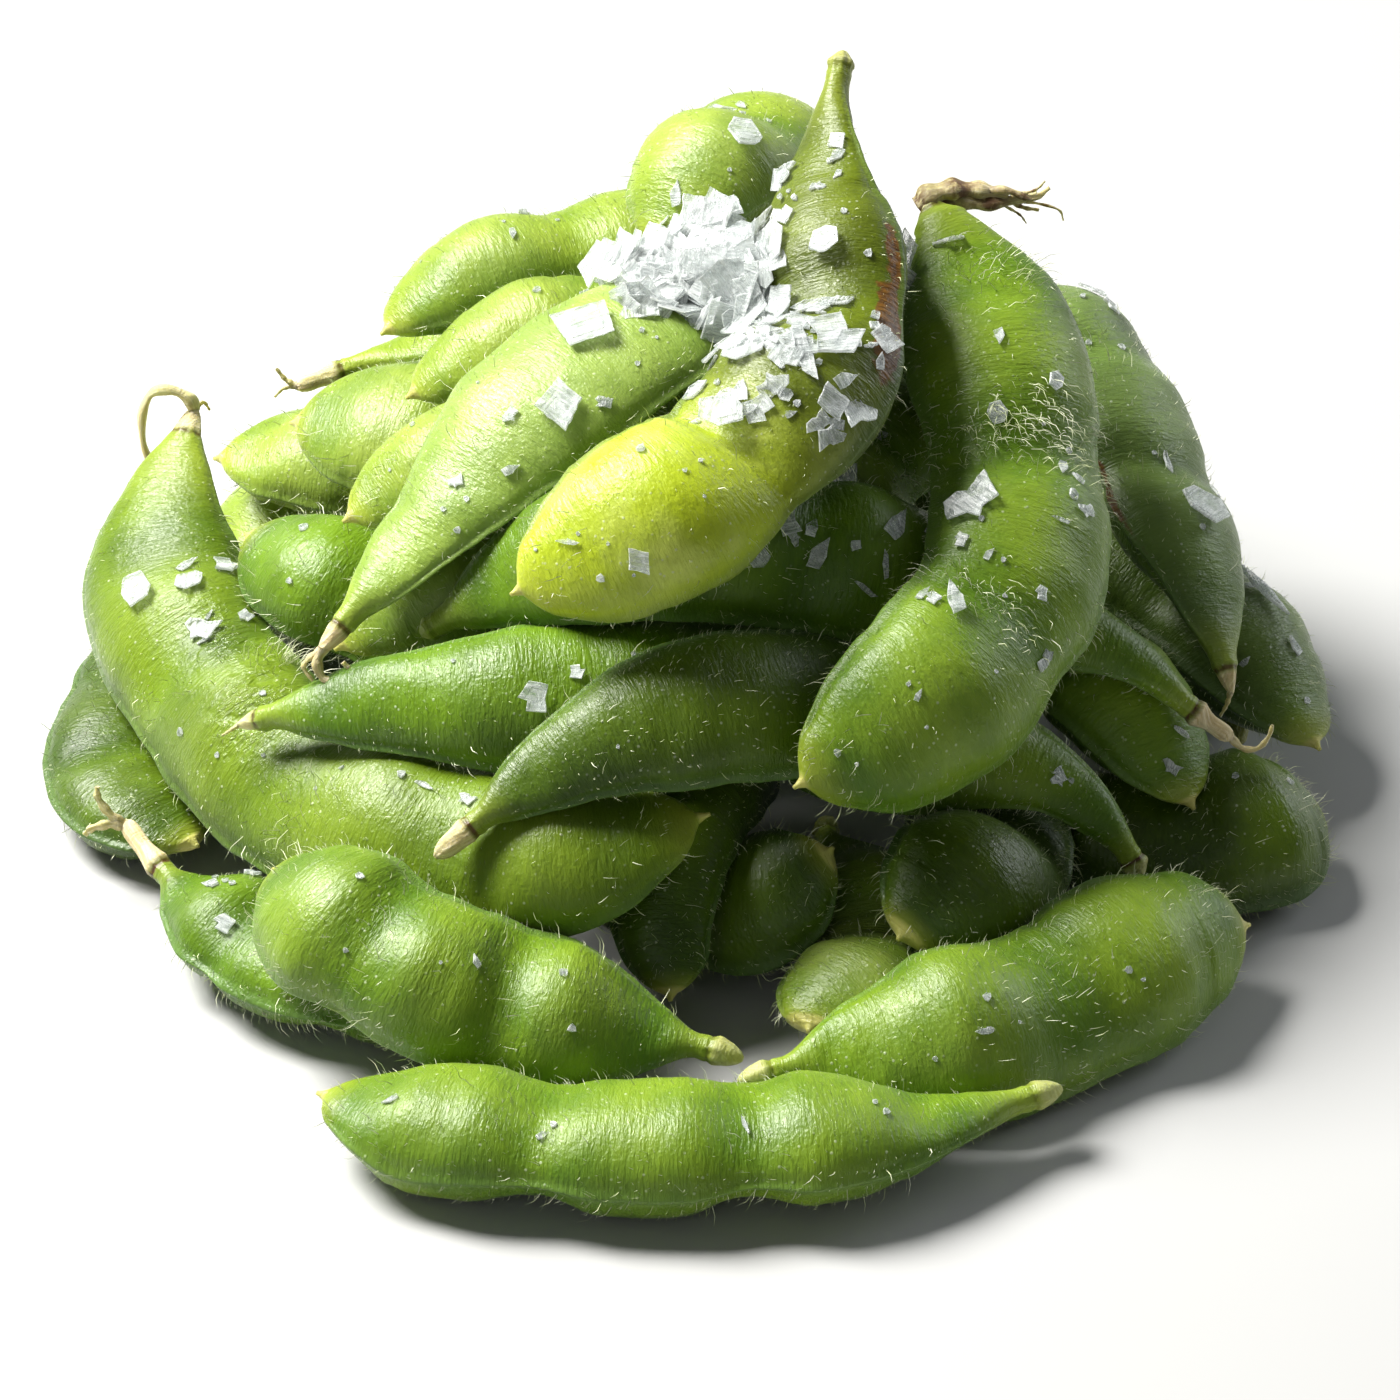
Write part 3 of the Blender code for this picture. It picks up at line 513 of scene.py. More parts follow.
def pod_material(name, look):
    """A pod's skin: silky green with pale pores, cross streaks, greyer seams, a pale neck and a dry stalk."""
    w = Wires(name)
    # The tint's greens hold painted shade for some pods and painted sheen for others.
    tint = TINTS[look.tint]
    place, flow = w.place(), w.read("flow", "Vector")
    share, scar = w.read("share"), w.read("scar")
    clouds = w.noise(place, 130, 3, 0.55)
    grain = w.noise(place, 900, 2, 0.6)
    streaks = w.noise(w.scaled(flow, 3600, 800, 400), 1, 3, 0.6, 0.4)
    wide_streaks = w.noise(w.scaled(flow, 900, 260, 400), 1, 3, 0.55, 0.4)
    pores = w.band(w.cells(place, 1300), 0.07, 0.20, 1.0, 0.0)
    pore_patch = w.band(w.noise(place, 260, 1), 0.42, 0.62)
    fibres = w.noise(w.scaled(flow, 300, 2600, 0), 1, 3, 0.6)

    # The skin's layers of colour: how far each one covers the last, and its colour.
    bean = w.times(w.read("swell"), w.band(wide_streaks, 0.3, 0.7, 0.6, 0.9))
    layers = [(w.times(bean, 0.45), tint.light)]
    if look.turns_to:
        other, start, end = look.turns_to
        other = TINTS[other]
        there = w.mix(w.band(clouds, 0.3, 0.7), other.dark, other.light)
        there = w.mix(w.band(clouds, 0.35, 0.6), other.mid, there)
        layers.append((w.band(w.sum("ADD", share, w.times(clouds, 0.12)), start, end), there))
    pale = tuple(min(1, 0.45 + 0.6 * part) for part in tint.light)
    grey = tuple(0.55 * part + add for part, add in zip(tint.mid, (0.05, 0.09, 0.04)))
    layers += [
        (w.band(streaks, 0.5, 0.8, 0.0, 0.16), tint.light),
        (w.band(grain, 0.5, 0.8, 0.0, 0.18), tint.dark),
        (w.times(pores, w.band(pore_patch, 0, 1, 0.14, 0.50)), pale),
        (w.times(w.read("seam"), 0.75), grey),
        (w.band(share, 0.0, 0.12, 0.45, 0.0), NECK),
        (w.band(share, 0.93, 1.0, 0.0, 0.6), END),
        (w.band(w.read("beak"), 0.35, 0.95), BEAK),
    ]
    if look.dots:
        dots = w.band(w.cells(place, 620), 0.10, 0.16, 1.0, 0.0)
        layers.append((w.times(dots, w.band(w.noise(place, 150), 0.45, 0.6, 0.0, 0.85)), DOTS))
    # Blemishes are reddish brown, ragged and streaky.
    ragged = w.sum("ADD", scar, w.times(w.sum("SUBTRACT", w.noise(place, 700, 4, 0.65), 0.5), 1.5))
    mark = w.times(w.band(ragged, 0.42, 0.75), w.band(scar, 0.03, 0.2))
    layers.append((w.times(mark, 0.85), w.mix(w.band(streaks, 0.35, 0.65), *BLEMISHES)))
    # The calyx left a dark broken ring, and the stalk before it is dry and cream.
    dry = w.times(w.read("dry"), look.stalk)
    cream = w.mix(w.band(fibres, 0.35, 0.7), *DRY_STALK)
    cream = w.mix(w.band(clouds, 0.45, 0.70, 0.0, 0.45), cream, GREENER_STALK)
    ring = w.times(w.read("ring"), look.stalk if look.stalk < FAINT_RING_BELOW else 1.0)
    broken = w.times(ring, w.band(w.noise(place, 1600, 3), 0.3, 0.55, 0.25, 1.0))
    layers += [(dry, cream), (broken, CALYX_RING)]
    colour = w.mix(w.band(clouds, 0.35, 0.68), tint.dark, tint.mid)
    for covers, layer in layers:
        colour = w.mix(covers, colour, layer)

    # Fine streaks and pores in relief, wetter in patches, with folds and glints where it is glossy.
    fine = w.sum("ADD", w.times(streaks, 0.7), w.times(grain, 0.3))
    bumpy = w.bump(fine, 0.65, 0.00028)
    bumpy = w.bump(wide_streaks, 0.20, 0.0005, bumpy)
    bumpy = w.bump(pores, 0.25, 0.0001, bumpy)
    bumpy = w.bump(w.times(fibres, dry), 0.5, 0.0002, bumpy)
    rough = w.band(streaks, 0.3, 0.75, 0.43, 0.31)
    rough = w.sum("ADD", rough, w.times(dry, 0.3))
    wet = w.times(w.band(w.noise(place, 95, 2), 0.46, 0.66), w.sum("SUBTRACT", 1.0, dry))
    coat = w.times(wet, look.wet)
    if look.gloss:
        gloss = w.times(w.read("gloss"), w.band(w.noise(place, 330, 2), 0.36, 0.5))
        coat = w.sum("MAXIMUM", coat, gloss)
        folds = w.noise(w.scaled(flow, 2400, 800, 400), 1, 3, 0.6, 0.8)
        bumpy = w.bump(w.times(folds, gloss), 1.0, 0.0007, bumpy)
        rough = w.sum("SUBTRACT", rough, w.times(gloss, 0.10))
    glints = w.noise(place, 3600, 2, 0.6)
    bumpy = w.bump(glints, 0.35, 0.0001, bumpy)
    coat = w.times(coat, w.band(glints, 0.40, 0.58, 0.35, 1.0))
    w.set(
        Base_Color=colour,
        Roughness=rough,
        Subsurface_Weight=0.22,
        Subsurface_Radius=(1.0, 1.0, 0.25),
        Subsurface_Scale=0.0014,
        Specular_IOR_Level=0.38,
        Sheen_Weight=0.10,
        Sheen_Roughness=0.34,
        Sheen_Tint=(0.88, 0.97, 0.88),
        Coat_Weight=coat,
        Coat_Roughness=0.12 if look.gloss else 0.24,
        Coat_Normal=w.bump(glints, 0.55, 0.00012, bumpy),
        Normal=bumpy,
    )
    return w.material


def hair_material():
    w = Wires("pod_hair")
    tone = w.noise(w.place(), 400, 1)
    w.set(
        Base_Color=w.mix(w.band(tone, 0.3, 0.7), *HAIR),
        Roughness=0.45,
        Specular_IOR_Level=0.4,
    )
    return w.material


def tube(path, radii, sides, ripple, phase):
    """A rippled tube along a path, closed at both ends, as points and faces, with each point's turn."""
    path = np.asarray(path, float)
    ahead = unit(np.gradient(path, axis=0))
    across = np.array(Vector(ahead[0]).orthogonal().normalized())
    points, turns = [], []
    for spot, along, radius in zip(path, ahead, radii):
        across = unit(across - along * (across @ along))
        other = np.cross(along, across)
        angle = np.arange(sides) * 2 * math.pi / sides
        size = radius * (1 + ripple * np.sin(3 * angle + phase))
        points.append(spot + (size * np.cos(angle))[:, None] * across + (size * np.sin(angle))[:, None] * other)
        turns.append(angle)
    faces = grid_faces(len(path), sides)[:, ::-1].tolist()
    count = len(path) * sides
    faces += [list(range(sides)), list(range(count - sides, count))[::-1]]
    return np.concatenate(points), faces, np.concatenate(turns)


# Dried fibres that curl from the stalks' ends: points past the cut end in millimetres, and thickness.
FIBRES = {
    "left_curve": [
        (1.1, (0, 0, 0), (-0.4, 0, 1.2), (-1.8, 0.2, 1.9), (-3.4, 0.4, 1.5), (-4.3, 0.4, -0.4), (-4.4, 0.2, -3),
         (-3.9, 0, -5)),
        (0.45, (0, 0, 0), (0.7, 0.5, 0.6), (1.2, 0.8, -0.3)),
    ],
    "front_right": [
        (2.3, (-0.6, 0, -0.6), (0.8, 0.3, 0.5), (2.6, 0.6, 0.7), (4.6, 0.8, 0.5), (6.4, 1, 0.1)),
        (1.5, (1, 0.4, 0.2), (3, 0.2, -0.1), (5, 0.2, -0.3), (7.4, 0.6, 0), (8.8, 0.6, 0.5)),
        (0.8, (4, 0.8, 0.6), (6.4, 0.4, 0.8), (8.4, 0.2, 0.2), (9.8, 0.4, 1.1)),
        (0.5, (6, 0.8, 0.2), (7.6, 0.4, -0.6), (9, 0.6, -1)),
        (0.3, (7, 0.6, 0.3), (8.6, 0.2, 1), (9.4, 0.2, 1.8)),
        (0.3, (7, 0.6, -0.2), (8.8, 0.6, -0.4), (10.6, 0.4, -0.9), (11, 0.3, -1.8)),
        (0.25, (6, 0.4, -0.4), (7.4, 0.2, -1.2), (8, 0.2, -2)),
    ],
    "salted": [
        (0.9, (0, 0, 0), (-0.5, -0.7, -0.9), (0.1, -1.3, -2.0), (1.4, -1.4, -2.2), (2.1, -1.2, -1.3),
         (1.6, -1, -0.6)),
        (0.6, (0, 0, 0), (-0.9, -0.4, -0.5), (-1.5, -0.6, -1.3), (-0.8, -1, -2.3)),
    ],
    "base_front_left": [
        (0.9, (0, 0, 0), (-1.2, 0, 0.9), (-2.2, 0.4, 2.2), (-2.3, 0.6, 3.2)),
        (1.0, (0, 0, 0), (-1.4, -0.2, 0.2), (-2.8, -0.2, -0.2), (-3.4, 0, -0.9)),
    ],
    "right_pointing": [
        (0.6, (0, 0, 0), (1, -0.2, -0.9), (2.2, -0.2, -0.9), (3, 0, 0), (3.3, 0.2, 1)),
    ],
    "right_back_twist": [(0.5, (0, 0, 0), (-0.3, -0.4, -1), (-0.8, -0.6, -2))],
    "left_back_stem": [
        (0.6, (0, 0, 0), (-1, 0, 0.6), (-1.8, 0.2, 1.6)),
        (0.4, (0, 0, 0), (-1.2, 0, -0.2), (-2, 0, -1)),
    ],
    "front_pointing_left": [(0.4, (0, 0, 0), (-0.7, -0.2, -0.4), (-1.4, -0.2, -0.9))],
    "left_back_tip": [(0.8, (0, 0, 0), (2, 0.6, 1.4), (4.4, 1, 2.2))],
}


# This pod's calyx is left on it, brown in its middle and where it joins.
BROWN_CALYX = "front_right"
FIBRE_SIDES = 8


def add_fibres(shape, name, stations):
    for thick, *points in FIBRES.get(name, ()):
        thick, points = thick * MM, np.array(points) * MM
        end = stations.middle[0] + 0.15 * (stations.middle[1] - stations.middle[0])
        line = through(np.arange(len(points)), points, np.linspace(0, len(points) - 1, 8 * len(points))) + end
        t = np.linspace(0, 1, len(line))
        radii = thick / 2 * (1 + 0.18 * np.sin(23 * t + thick * 1e4)) * (1 - 0.55 * t)
        points, faces, turns = tube(line, radii, FIBRE_SIDES, 0.18, thick * 9e3)
        flow = np.column_stack([np.repeat(t * 5 * MM, FIBRE_SIDES), turns * thick / 2, turns * 0])
        brown = np.full(len(t), 0.06)
        if name == BROWN_CALYX:
            brown = 0.25 + 0.75 * hump(t, 0, 0.2) + 0.7 * hump(t, 0.5, 0.16)
        shape.add(points, faces, dry=0.9, flow=flow, share=-0.02, ring=np.repeat(brown, FIBRE_SIDES))


# The fine pods' points, for the salt to lie on.
GRIDS = {}


def build_pod(name, rng):
    look = looks_of(name)
    stations = read_pod(NODES[name])
    grid = pod_grid(stations, look, rng)
    GRIDS[name] = grid
    rows, columns = grid.points.shape[:2]
    faces = grid_faces(rows, columns).tolist()
    faces.append(list(range(columns)))
    faces.append(list(reversed(range((rows - 1) * columns, rows * columns))))
    # flow is metres along the pod and metres round it from the straight seam, for streaks that follow it.
    body = grid.body[:, None]
    steps = np.linalg.norm(np.diff(grid.points, axis=1, append=grid.points[:, :1]), axis=2)
    wraps = np.cumsum(steps, axis=1)
    across = np.minimum(wraps, steps.sum(1)[:, None] - wraps)
    flow = np.stack(np.broadcast_arrays(grid.along[:, None], across, (TURNS > math.pi) * 0.01), axis=-1)
    past = body * grid.length / MM
    scars = [strength * patch_at(body, *place) for *place, strength in look.scars]
    read = {
        "share": body,
        "swell": grid.swell,
        "seam": (hump(OFF_STRAIGHT, 0, 15) + 0.8 * hump(OFF_WAVY, 0, 13)) * ramp_up(body / 0.1),
        "scar": np.max([0 * across] + scars, axis=0),
        "dry": ramp_up((0.05 - past) / 0.5),
        "ring": 1.2 * hump(past, 0.10, 0.17),
        "beak": ramp_up((past - grid.length / MM + 1.5) / 0.9),
    }
    if look.gloss:
        read["gloss"] = np.max([patch_at(body, *place) for place in look.gloss], axis=0)
    read = {key: np.broadcast_to(value, (rows, columns)).ravel() for key, value in read.items()}
    shape = Shape()
    shape.add(grid.points, faces, flow=flow.reshape(-1, 3), **read)
    add_fibres(shape, name, stations)
    add_hairs(grid, look, rng)
    pod = shape.build(name + "_skin", pod_material(name + "_skin", look))
    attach(pod, "root")
    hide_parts(name)


HAIRS = Shape()
# Least and most length and width of the fine down, of longer hairs and of those in tufts, in millimetres,
# and how many a usual pod has.
DOWN, LONGER, TUFTED = (0.30, 0.60, 0.045), (0.9, 1.9, 0.062), (1.4, 2.9, 0.058)
DOWN_COUNT, LONGER_COUNT = 1200, 270


def add_hairs(grid, look, rng):
    """Fine down all over the pod and longer hairs, mostly at its waists and seams, leaning to the beak."""
    rows, columns = grid.points.shape[:2]
    points = grid.points
    du = np.gradient(points, axis=0)
    dv = (np.roll(points, -1, axis=1) - np.roll(points, 1, axis=1)) / 2
    normal = unit(np.cross(du, dv))
    along = unit(du)
    area = np.linalg.norm(np.cross(du, dv), axis=2)
    edge = hump(OFF_STRAIGHT, 0, 22) + hump(OFF_WAVY, 0, 22)
    body = grid.body[:, None]
    on_body = ramp_up((body - 0.02) / 0.08) * ramp_up((0.98 - body) / 0.02)
    waist = ((1 - grid.swell.max(1)) * ramp_up((grid.body - 0.15) / 0.1))[:, None]
    wants = [
        (DOWN, DOWN_COUNT, on_body * (0.6 + 0.8 * edge + 0.6 * waist)),
        (LONGER, LONGER_COUNT * look.hairs, on_body * (0.12 + 0.8 * edge + 1.6 * waist**2)),
    ]
    wants += [(TUFTED, count, patch_at(body, *place)) for *place, count in look.tufts]
    for (short, long, width), count, where in wants:
        chance = (area * where).ravel()
        picked = rng.choice(len(chance), int(count), p=chance / chance.sum())
        row, column = np.divmod(picked, columns)
        row = np.clip(row, 1, rows - 2)
        u, v = rng.uniform(-0.5, 0.5, (2, len(picked), 1))
        root = points[row, column] + u * du[row, column] + v * dv[row, column]
        n, a = normal[row, column], along[row, column]
        b = np.cross(n, a)
        lean = rng.uniform(0.2, 1.3, (len(picked), 1))
        sway = rng.normal(0, 0.45, (len(picked), 1))
        first = unit(n + lean * 0.6 * a + sway * b)
        second = unit(0.7 * n + lean * 1.3 * a + sway * 1.4 * b)
        size = rng.uniform(short, long, (len(picked), 1)) * MM
        roll = rng.uniform(0, 2 * math.pi, (len(picked), 1))
        flat = unit(np.cos(roll) * np.cross(first, a) + np.sin(roll) * np.cross(first, b)) * width / 2 * MM
        bend = root + first * size * 0.5
        tip = bend + second * size * 0.5
        root = root - 0.05 * MM * n
        blades = np.stack([root - flat, root + flat, bend - 0.8 * flat, bend + 0.8 * flat, tip], axis=1)
        blades[..., 2] = np.maximum(blades[..., 2], FLOOR_GAP * MM)
        first_point = (np.arange(len(picked)) * 5)[:, None]
        quads = (first_point + np.array([0, 1, 3, 2])).tolist()
        ends = (first_point + np.array([2, 3, 4])).tolist()
        HAIRS.add(blades, quads + ends)


pods = sorted(name for name in NODES if not name.startswith("salt_flake"))
for number, name in enumerate(pods):
    build_pod(name, np.random.default_rng(POD_SEED + number))
hairs = HAIRS.build("pod_hairs", hair_material())
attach(hairs, "root")

# Flaky salt. Each style is an outline of corners: a share of the size from the middle, and degrees.
OUTLINES = {
    "square": ((0.62, 40), (0.60, 128), (0.66, 222), (0.58, 318)),
    "block": ((0.60, 22), (0.56, 70), (0.62, 150), (0.60, 205), (0.55, 262), (0.62, 330)),
    "notched": ((0.66, 30), (0.60, 95), (0.30, 110), (0.60, 150), (0.64, 225), (0.34, 272), (0.62, 320)),
    "star": (
        (0.60, 8), (0.86, 34), (0.36, 74), (0.50, 100), (0.78, 138),
        (0.84, 166), (0.40, 202), (0.58, 238), (0.30, 272), (0.66, 318),
    ),
    "sliver": ((1.0, 4), (0.22, 60), (0.92, 176), (0.95, 186), (0.20, 250), (0.6, 344)),
    "shard": ((0.85, 0), (0.34, 75), (0.60, 160), (0.52, 215), (0.30, 290)),
    "crumb": ((0.55, 20), (0.45, 85), (0.6, 140), (0.5, 200), (0.55, 260), (0.48, 320)),
}


def flake_shape(rng, style, size, thick, steps):
    """A broken plate lying flat at the origin: points, faces, and how near each point is to the edge.

    steps is how many terraces its top has.
    """
    corners = [
        (radius * rng.uniform(0.88, 1.1) * size, math.radians(angle + rng.uniform(-7, 7)))
        for radius, angle in OUTLINES[style]
    ]
    corners = np.array([(r * math.cos(a), r * math.sin(a)) for r, a in corners])
    outline = []
    for here, after in zip(corners, np.roll(corners, -1, axis=0)):
        pieces = max(1, int(np.linalg.norm(after - here) / (0.45 * MM)))
        for piece in range(pieces):
            spot = here + (after - here) * piece / pieces
            outline.append(spot + (rng.normal(0, 0.035 * MM, 2) if piece else 0))
    outline = np.array(outline)
    levels = [(0.95, 0, 1), (1.0, 0.25, 1), (1.0, 0.75, 1), (0.96, 1.0, 0.55)]
    reach, height = 0.94, 1.0
    for _ in range(steps):
        reach -= rng.uniform(0.16, 0.24)
        rise = rng.uniform(0.25, 0.6) * rng.choice((-0.6, 1))
        levels += [(reach, height, 0.1), (reach - 0.03, height + rise, 0.5)]
        height += rise
    levels.append((0.35 * reach, height, 0.0))
    bend = rng.uniform(-0.05, 0.05) / size
    tilt = rng.normal(0, 0.03, 2)
    shift = rng.normal(0, 0.22, 2) * size
    points, edges = [], []
    for scale, lift, edge in levels:
        ring = outline * scale + shift * max(0, 0.94 - scale)
        z = lift * thick + bend * (ring**2).sum(1) + (ring @ tilt if lift >= 1 else 0)
        points.append(np.column_stack([ring, z + rng.normal(0, 0.012 * MM, len(ring))]))
        edges.append(np.full(len(ring), float(edge)))
    count = len(outline)
    faces = grid_faces(len(levels), count)[:, ::-1].tolist()
    faces += [list(reversed(range(count))), list(range((len(levels) - 1) * count, len(levels) * count))]
    return np.concatenate(points), faces, np.concatenate(edges)


SALT_CLEAR, SALT_WHITE = (0.54, 0.62, 0.60), (0.75, 0.79, 0.79)


def salt_material():
    """Cloudy broken crystal: clearer in its middle, white and frosted at its edges, with fine growth lines."""
    w = Wires("flaky_salt")
    place, flow = w.place(), w.read("flow", "Vector")
    edge = w.read("edge")
    clouds = w.noise(place, 900, 3, 0.6)
    lines = w.noise(w.scaled(flow, 6000, 500, 1), 1, 2, 0.5, 0.2)
    milky = w.sum("ADD", w.times(edge, 0.55), w.band(clouds, 0.36, 0.66, 0.0, 0.42))
    milky = w.sum("ADD", milky, w.band(lines, 0.42, 0.64, 0.0, 0.38))
    colour = w.mix(w.band(milky, 0.1, 0.9), SALT_CLEAR, SALT_WHITE)
    bumpy = w.bump(lines, 0.8, 0.00018)
    bumpy = w.bump(clouds, 0.35, 0.00025, bumpy)
    w.set(
        Base_Color=colour,
        Roughness=w.band(clouds, 0.3, 0.7, 0.14, 0.36),
        Alpha=w.band(milky, 0.05, 1.15, 0.08, 0.80),
        Subsurface_Weight=0.4,
        Subsurface_Radius=(1.0, 1.0, 1.0),
        Subsurface_Scale=0.0012,
        IOR=1.5,
        Specular_IOR_Level=0.6,
        Normal=bumpy,
    )
    return w.material


SALT = salt_material()


def add_flake(shape, rng, spot, up, style, size, thick, steps, spin=None, tilt=0.0):
    """Adds a flake at a place, lying across the way up, turned by spin and leaning by tilt."""
    points, faces, edge = flake_shape(rng, style, size, thick, steps)
    spin = rng.uniform(0, 2 * math.pi) if spin is None else spin
    lean = Matrix.Rotation(tilt, 3, Vector((math.cos(spin * 3), math.sin(spin * 3), 0)))
    turn = Vector(up).to_track_quat("Z", "Y").to_matrix() @ lean @ Matrix.Rotation(spin, 3, "Z")
    flow = points + rng.uniform(0, 1, 3)
    shape.add(points @ np.array(turn).T + np.array(spot), faces, edge=edge, flow=flow)


def finish_salt(shape, name, *nodes):
    flakes = shape.build(name, SALT, smooth=False)
    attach(flakes, "root")
    if nodes:
        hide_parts(*nodes)


# The large flakes stand for CAD nodes: style, size for the node's size, thickness in mm, steps, spin.
LARGE = {
    "salt_flake_01": ("square", 1.0, 0.22, 1, 0.6),
    "salt_flake_02": ("square", 1.0, 0.30, 2, 0.2),
    "salt_flake_03": ("notched", 1.05, 0.26, 2, 0.3),
    "salt_flake_04": ("block", 1.0, 0.22, 1, 0.1),
    "salt_flake_05": ("block", 1.0, 0.22, 1, 0.9),
    "salt_flake_06": ("square", 0.9, 0.22, 1, 0.5),
    "salt_flake_07": ("block", 1.0, 0.25, 1, 0.5),
    "salt_flake_08": ("shard", 1.0, 0.25, 1, 0.2),
    "salt_flake_09": ("star", 0.85, 0.30, 1, 0.4),
    "salt_flake_10": ("shard", 1.0, 0.28, 1, 0.7),
    "salt_flake_11": ("block", 1.0, 0.24, 1, 0.8),
    "salt_flake_12": ("sliver", 1.0, 0.35, 1, 0.2),
    "salt_flake_13": ("block", 1.1, 0.30, 2, 0.3),
    "salt_flake_14": ("notched", 1.0, 0.25, 1, 0.4),
}


def large_flakes():
    heap_middle = np.array([0, 0, 0.01])
    for number, (name, (style, share, thick, steps, spin)) in enumerate(LARGE.items()):
        rng = np.random.default_rng(LARGE_SEED + number)
        points = np.array([vert.co for vert in NODES[name].data.vertices])
        middle = points.mean(0)
        axes = np.linalg.svd(points - middle)[2]
        up = axes[2]
        size = share * np.ptp((points - middle) @ axes.T, axis=0)[:2].mean()
        rise = np.abs((points - middle) @ up).max()
        # The plate's outer side is the one that faces away from the heap's middle.
        up = up if up @ (middle - heap_middle) > 0 else -up
        turn = np.array(Vector(up).to_track_quat("Z", "Y").to_matrix())
        spin += math.atan2(axes[0] @ turn[:, 1], axes[0] @ turn[:, 0])
        shape = Shape()
        add_flake(shape, rng, middle - up * rise, up, style, size, thick * MM, steps, spin)
        finish_salt(shape, name + "_crystal", name)


def heap_tree():
    """The pods' fine surfaces, for finding where a flake lands."""
    points, faces, start = [], [], 0
    for name in pods:
        grid = GRIDS[name]
        rows, columns = grid.points.shape[:2]
        points.append(grid.points.reshape(-1, 3))
        faces += (grid_faces(rows, columns) + start).tolist()
        start += rows * columns
    return BVHTree.FromPolygons(np.concatenate(points).tolist(), faces)


def on_pod(name, share, degrees):
    """The place on a pod's skin at this share along it and this far round it, and the way out from it."""
    grid = GRIDS[name]
    row = int(np.argmin(np.abs(grid.body - share)))
    row = min(max(row, 1), len(grid.body) - 2)
    column = int(np.argmin(np.abs(DEGREES - degrees % 360)))
    points = grid.points
    along = points[row + 1, column] - points[row - 1, column]
    round_it = points[row, (column + 1) % len(TURNS)] - points[row, column - 1]
    return points[row, column], unit(np.cross(along, round_it))


# A smaller loose flake than this is a crumb. The others have these styles.
CRUMBS_BELOW = 0.7 * MM
LOOSE_STYLES = ["square", "block", "notched", "shard", "shard", "sliver", "star"]
LOOSE_CHANCES = [0.08, 0.18, 0.18, 0.18, 0.10, 0.12, 0.16]


def pick(rng, least, most):
    """A style, size, thickness and number of steps for a loose flake."""
    size = rng.uniform(least, most)
    if size < CRUMBS_BELOW:
        return "crumb", size, rng.uniform(0.2, 0.45) * size, 0
    style = rng.choice(LOOSE_STYLES, p=LOOSE_CHANCES)
    return style, size, rng.uniform(0.14, 0.26) * MM, int(rng.integers(0, 3))


# Where salt fell: the pod, shares along, degrees round, how many flakes, and their least and most size in mm.
UPPER, TOP = (50, 130), (60, 120)
DUSTED = [
    ("tall", (0.44, 0.66), (25, 105), 36, 0.4, 3.2),
    ("tall", (0.42, 0.62), (90, 150), 28, 0.4, 2.6),
    ("tall", (0.60, 0.95), UPPER, 12, 0.3, 1.5),
    ("tall", (0.12, 0.40), (80, 150), 9, 0.4, 1.8),
    ("salted", (0.25, 0.75), (40, 120), 14, 0.3, 1.3),
    ("top_back", (0.55, 0.95), UPPER, 9, 0.4, 1.8),
    ("left_fan_top", (0.4, 0.9), (50, 120), 8, 0.25, 0.9),
    ("left_fan_middle", (0.4, 0.8), (50, 120), 7, 0.3, 1.5),
    ("left_fan_low", (0.5, 0.9), (50, 120), 4, 0.3, 1.0),
    ("front_right", (0.25, 0.55), (40, 130), 12, 0.3, 1.7),
    ("front_right", (0.55, 0.8), (30, 130), 10, 0.3, 1.6),
    ("front_right", (0.8, 0.97), (60, 130), 5, 0.3, 0.9),
    ("right_inner_hairy", (0.3, 0.95), UPPER, 20, 0.5, 2.6),
    ("right_inner_hairy", (0.69, 0.72), (95, 105), 1, 4.2, 4.3),
    ("middle_front_broad", (0.45, 0.95), (60, 130), 20, 0.5, 2.6),
    ("right_back_twist", (0.15, 0.8), TOP, 9, 0.4, 1.8),
    ("right_outer_dark", (0.5, 0.95), UPPER, 10, 0.4, 1.8),
    ("right_ridge", (0.5, 0.95), TOP, 6, 0.4, 1.6),
    ("right_pointing", (0.2, 0.6), TOP, 3, 0.3, 1.4),
    ("left_curve", (0.14, 0.34), (95, 165), 8, 0.5, 2.3),
    ("left_curve", (0.4, 0.9), (60, 130), 12, 0.3, 1.0),
    ("left_inner_green", (0.4, 0.9), (60, 130), 8, 0.5, 1.9),
    ("front_pointing_left", (0.3, 0.7), TOP, 4, 0.4, 1.4),
    ("front_pointing_stem", (0.3, 0.8), TOP, 3, 0.3, 0.8),
    ("front_right_tail", (0.2, 0.8), TOP, 4, 0.3, 1.4),
    ("front_edge_right", (0.2, 0.8), TOP, 7, 0.3, 1.1),
    ("front_edge_left", (0.2, 0.8), TOP, 6, 0.3, 1.2),
    ("base_front_left", (0.1, 0.9), UPPER, 12, 0.4, 1.6),
    ("base_front", (0.1, 0.9), TOP, 6, 0.3, 1.2),
    ("under_salted", (0.5, 0.95), UPPER, 5, 0.3, 1.2),
    ("right_low_bean", (0.3, 0.9), UPPER, 5, 0.3, 1.2),
    ("core_top_back", (0.2, 0.9), UPPER, 6, 0.3, 1.2),
    ("back_low_right", (0.2, 0.9), UPPER, 6, 0.3, 1.2),
    ("base_far_back", (0.2, 0.9), TOP, 6, 0.3, 1.2),
]


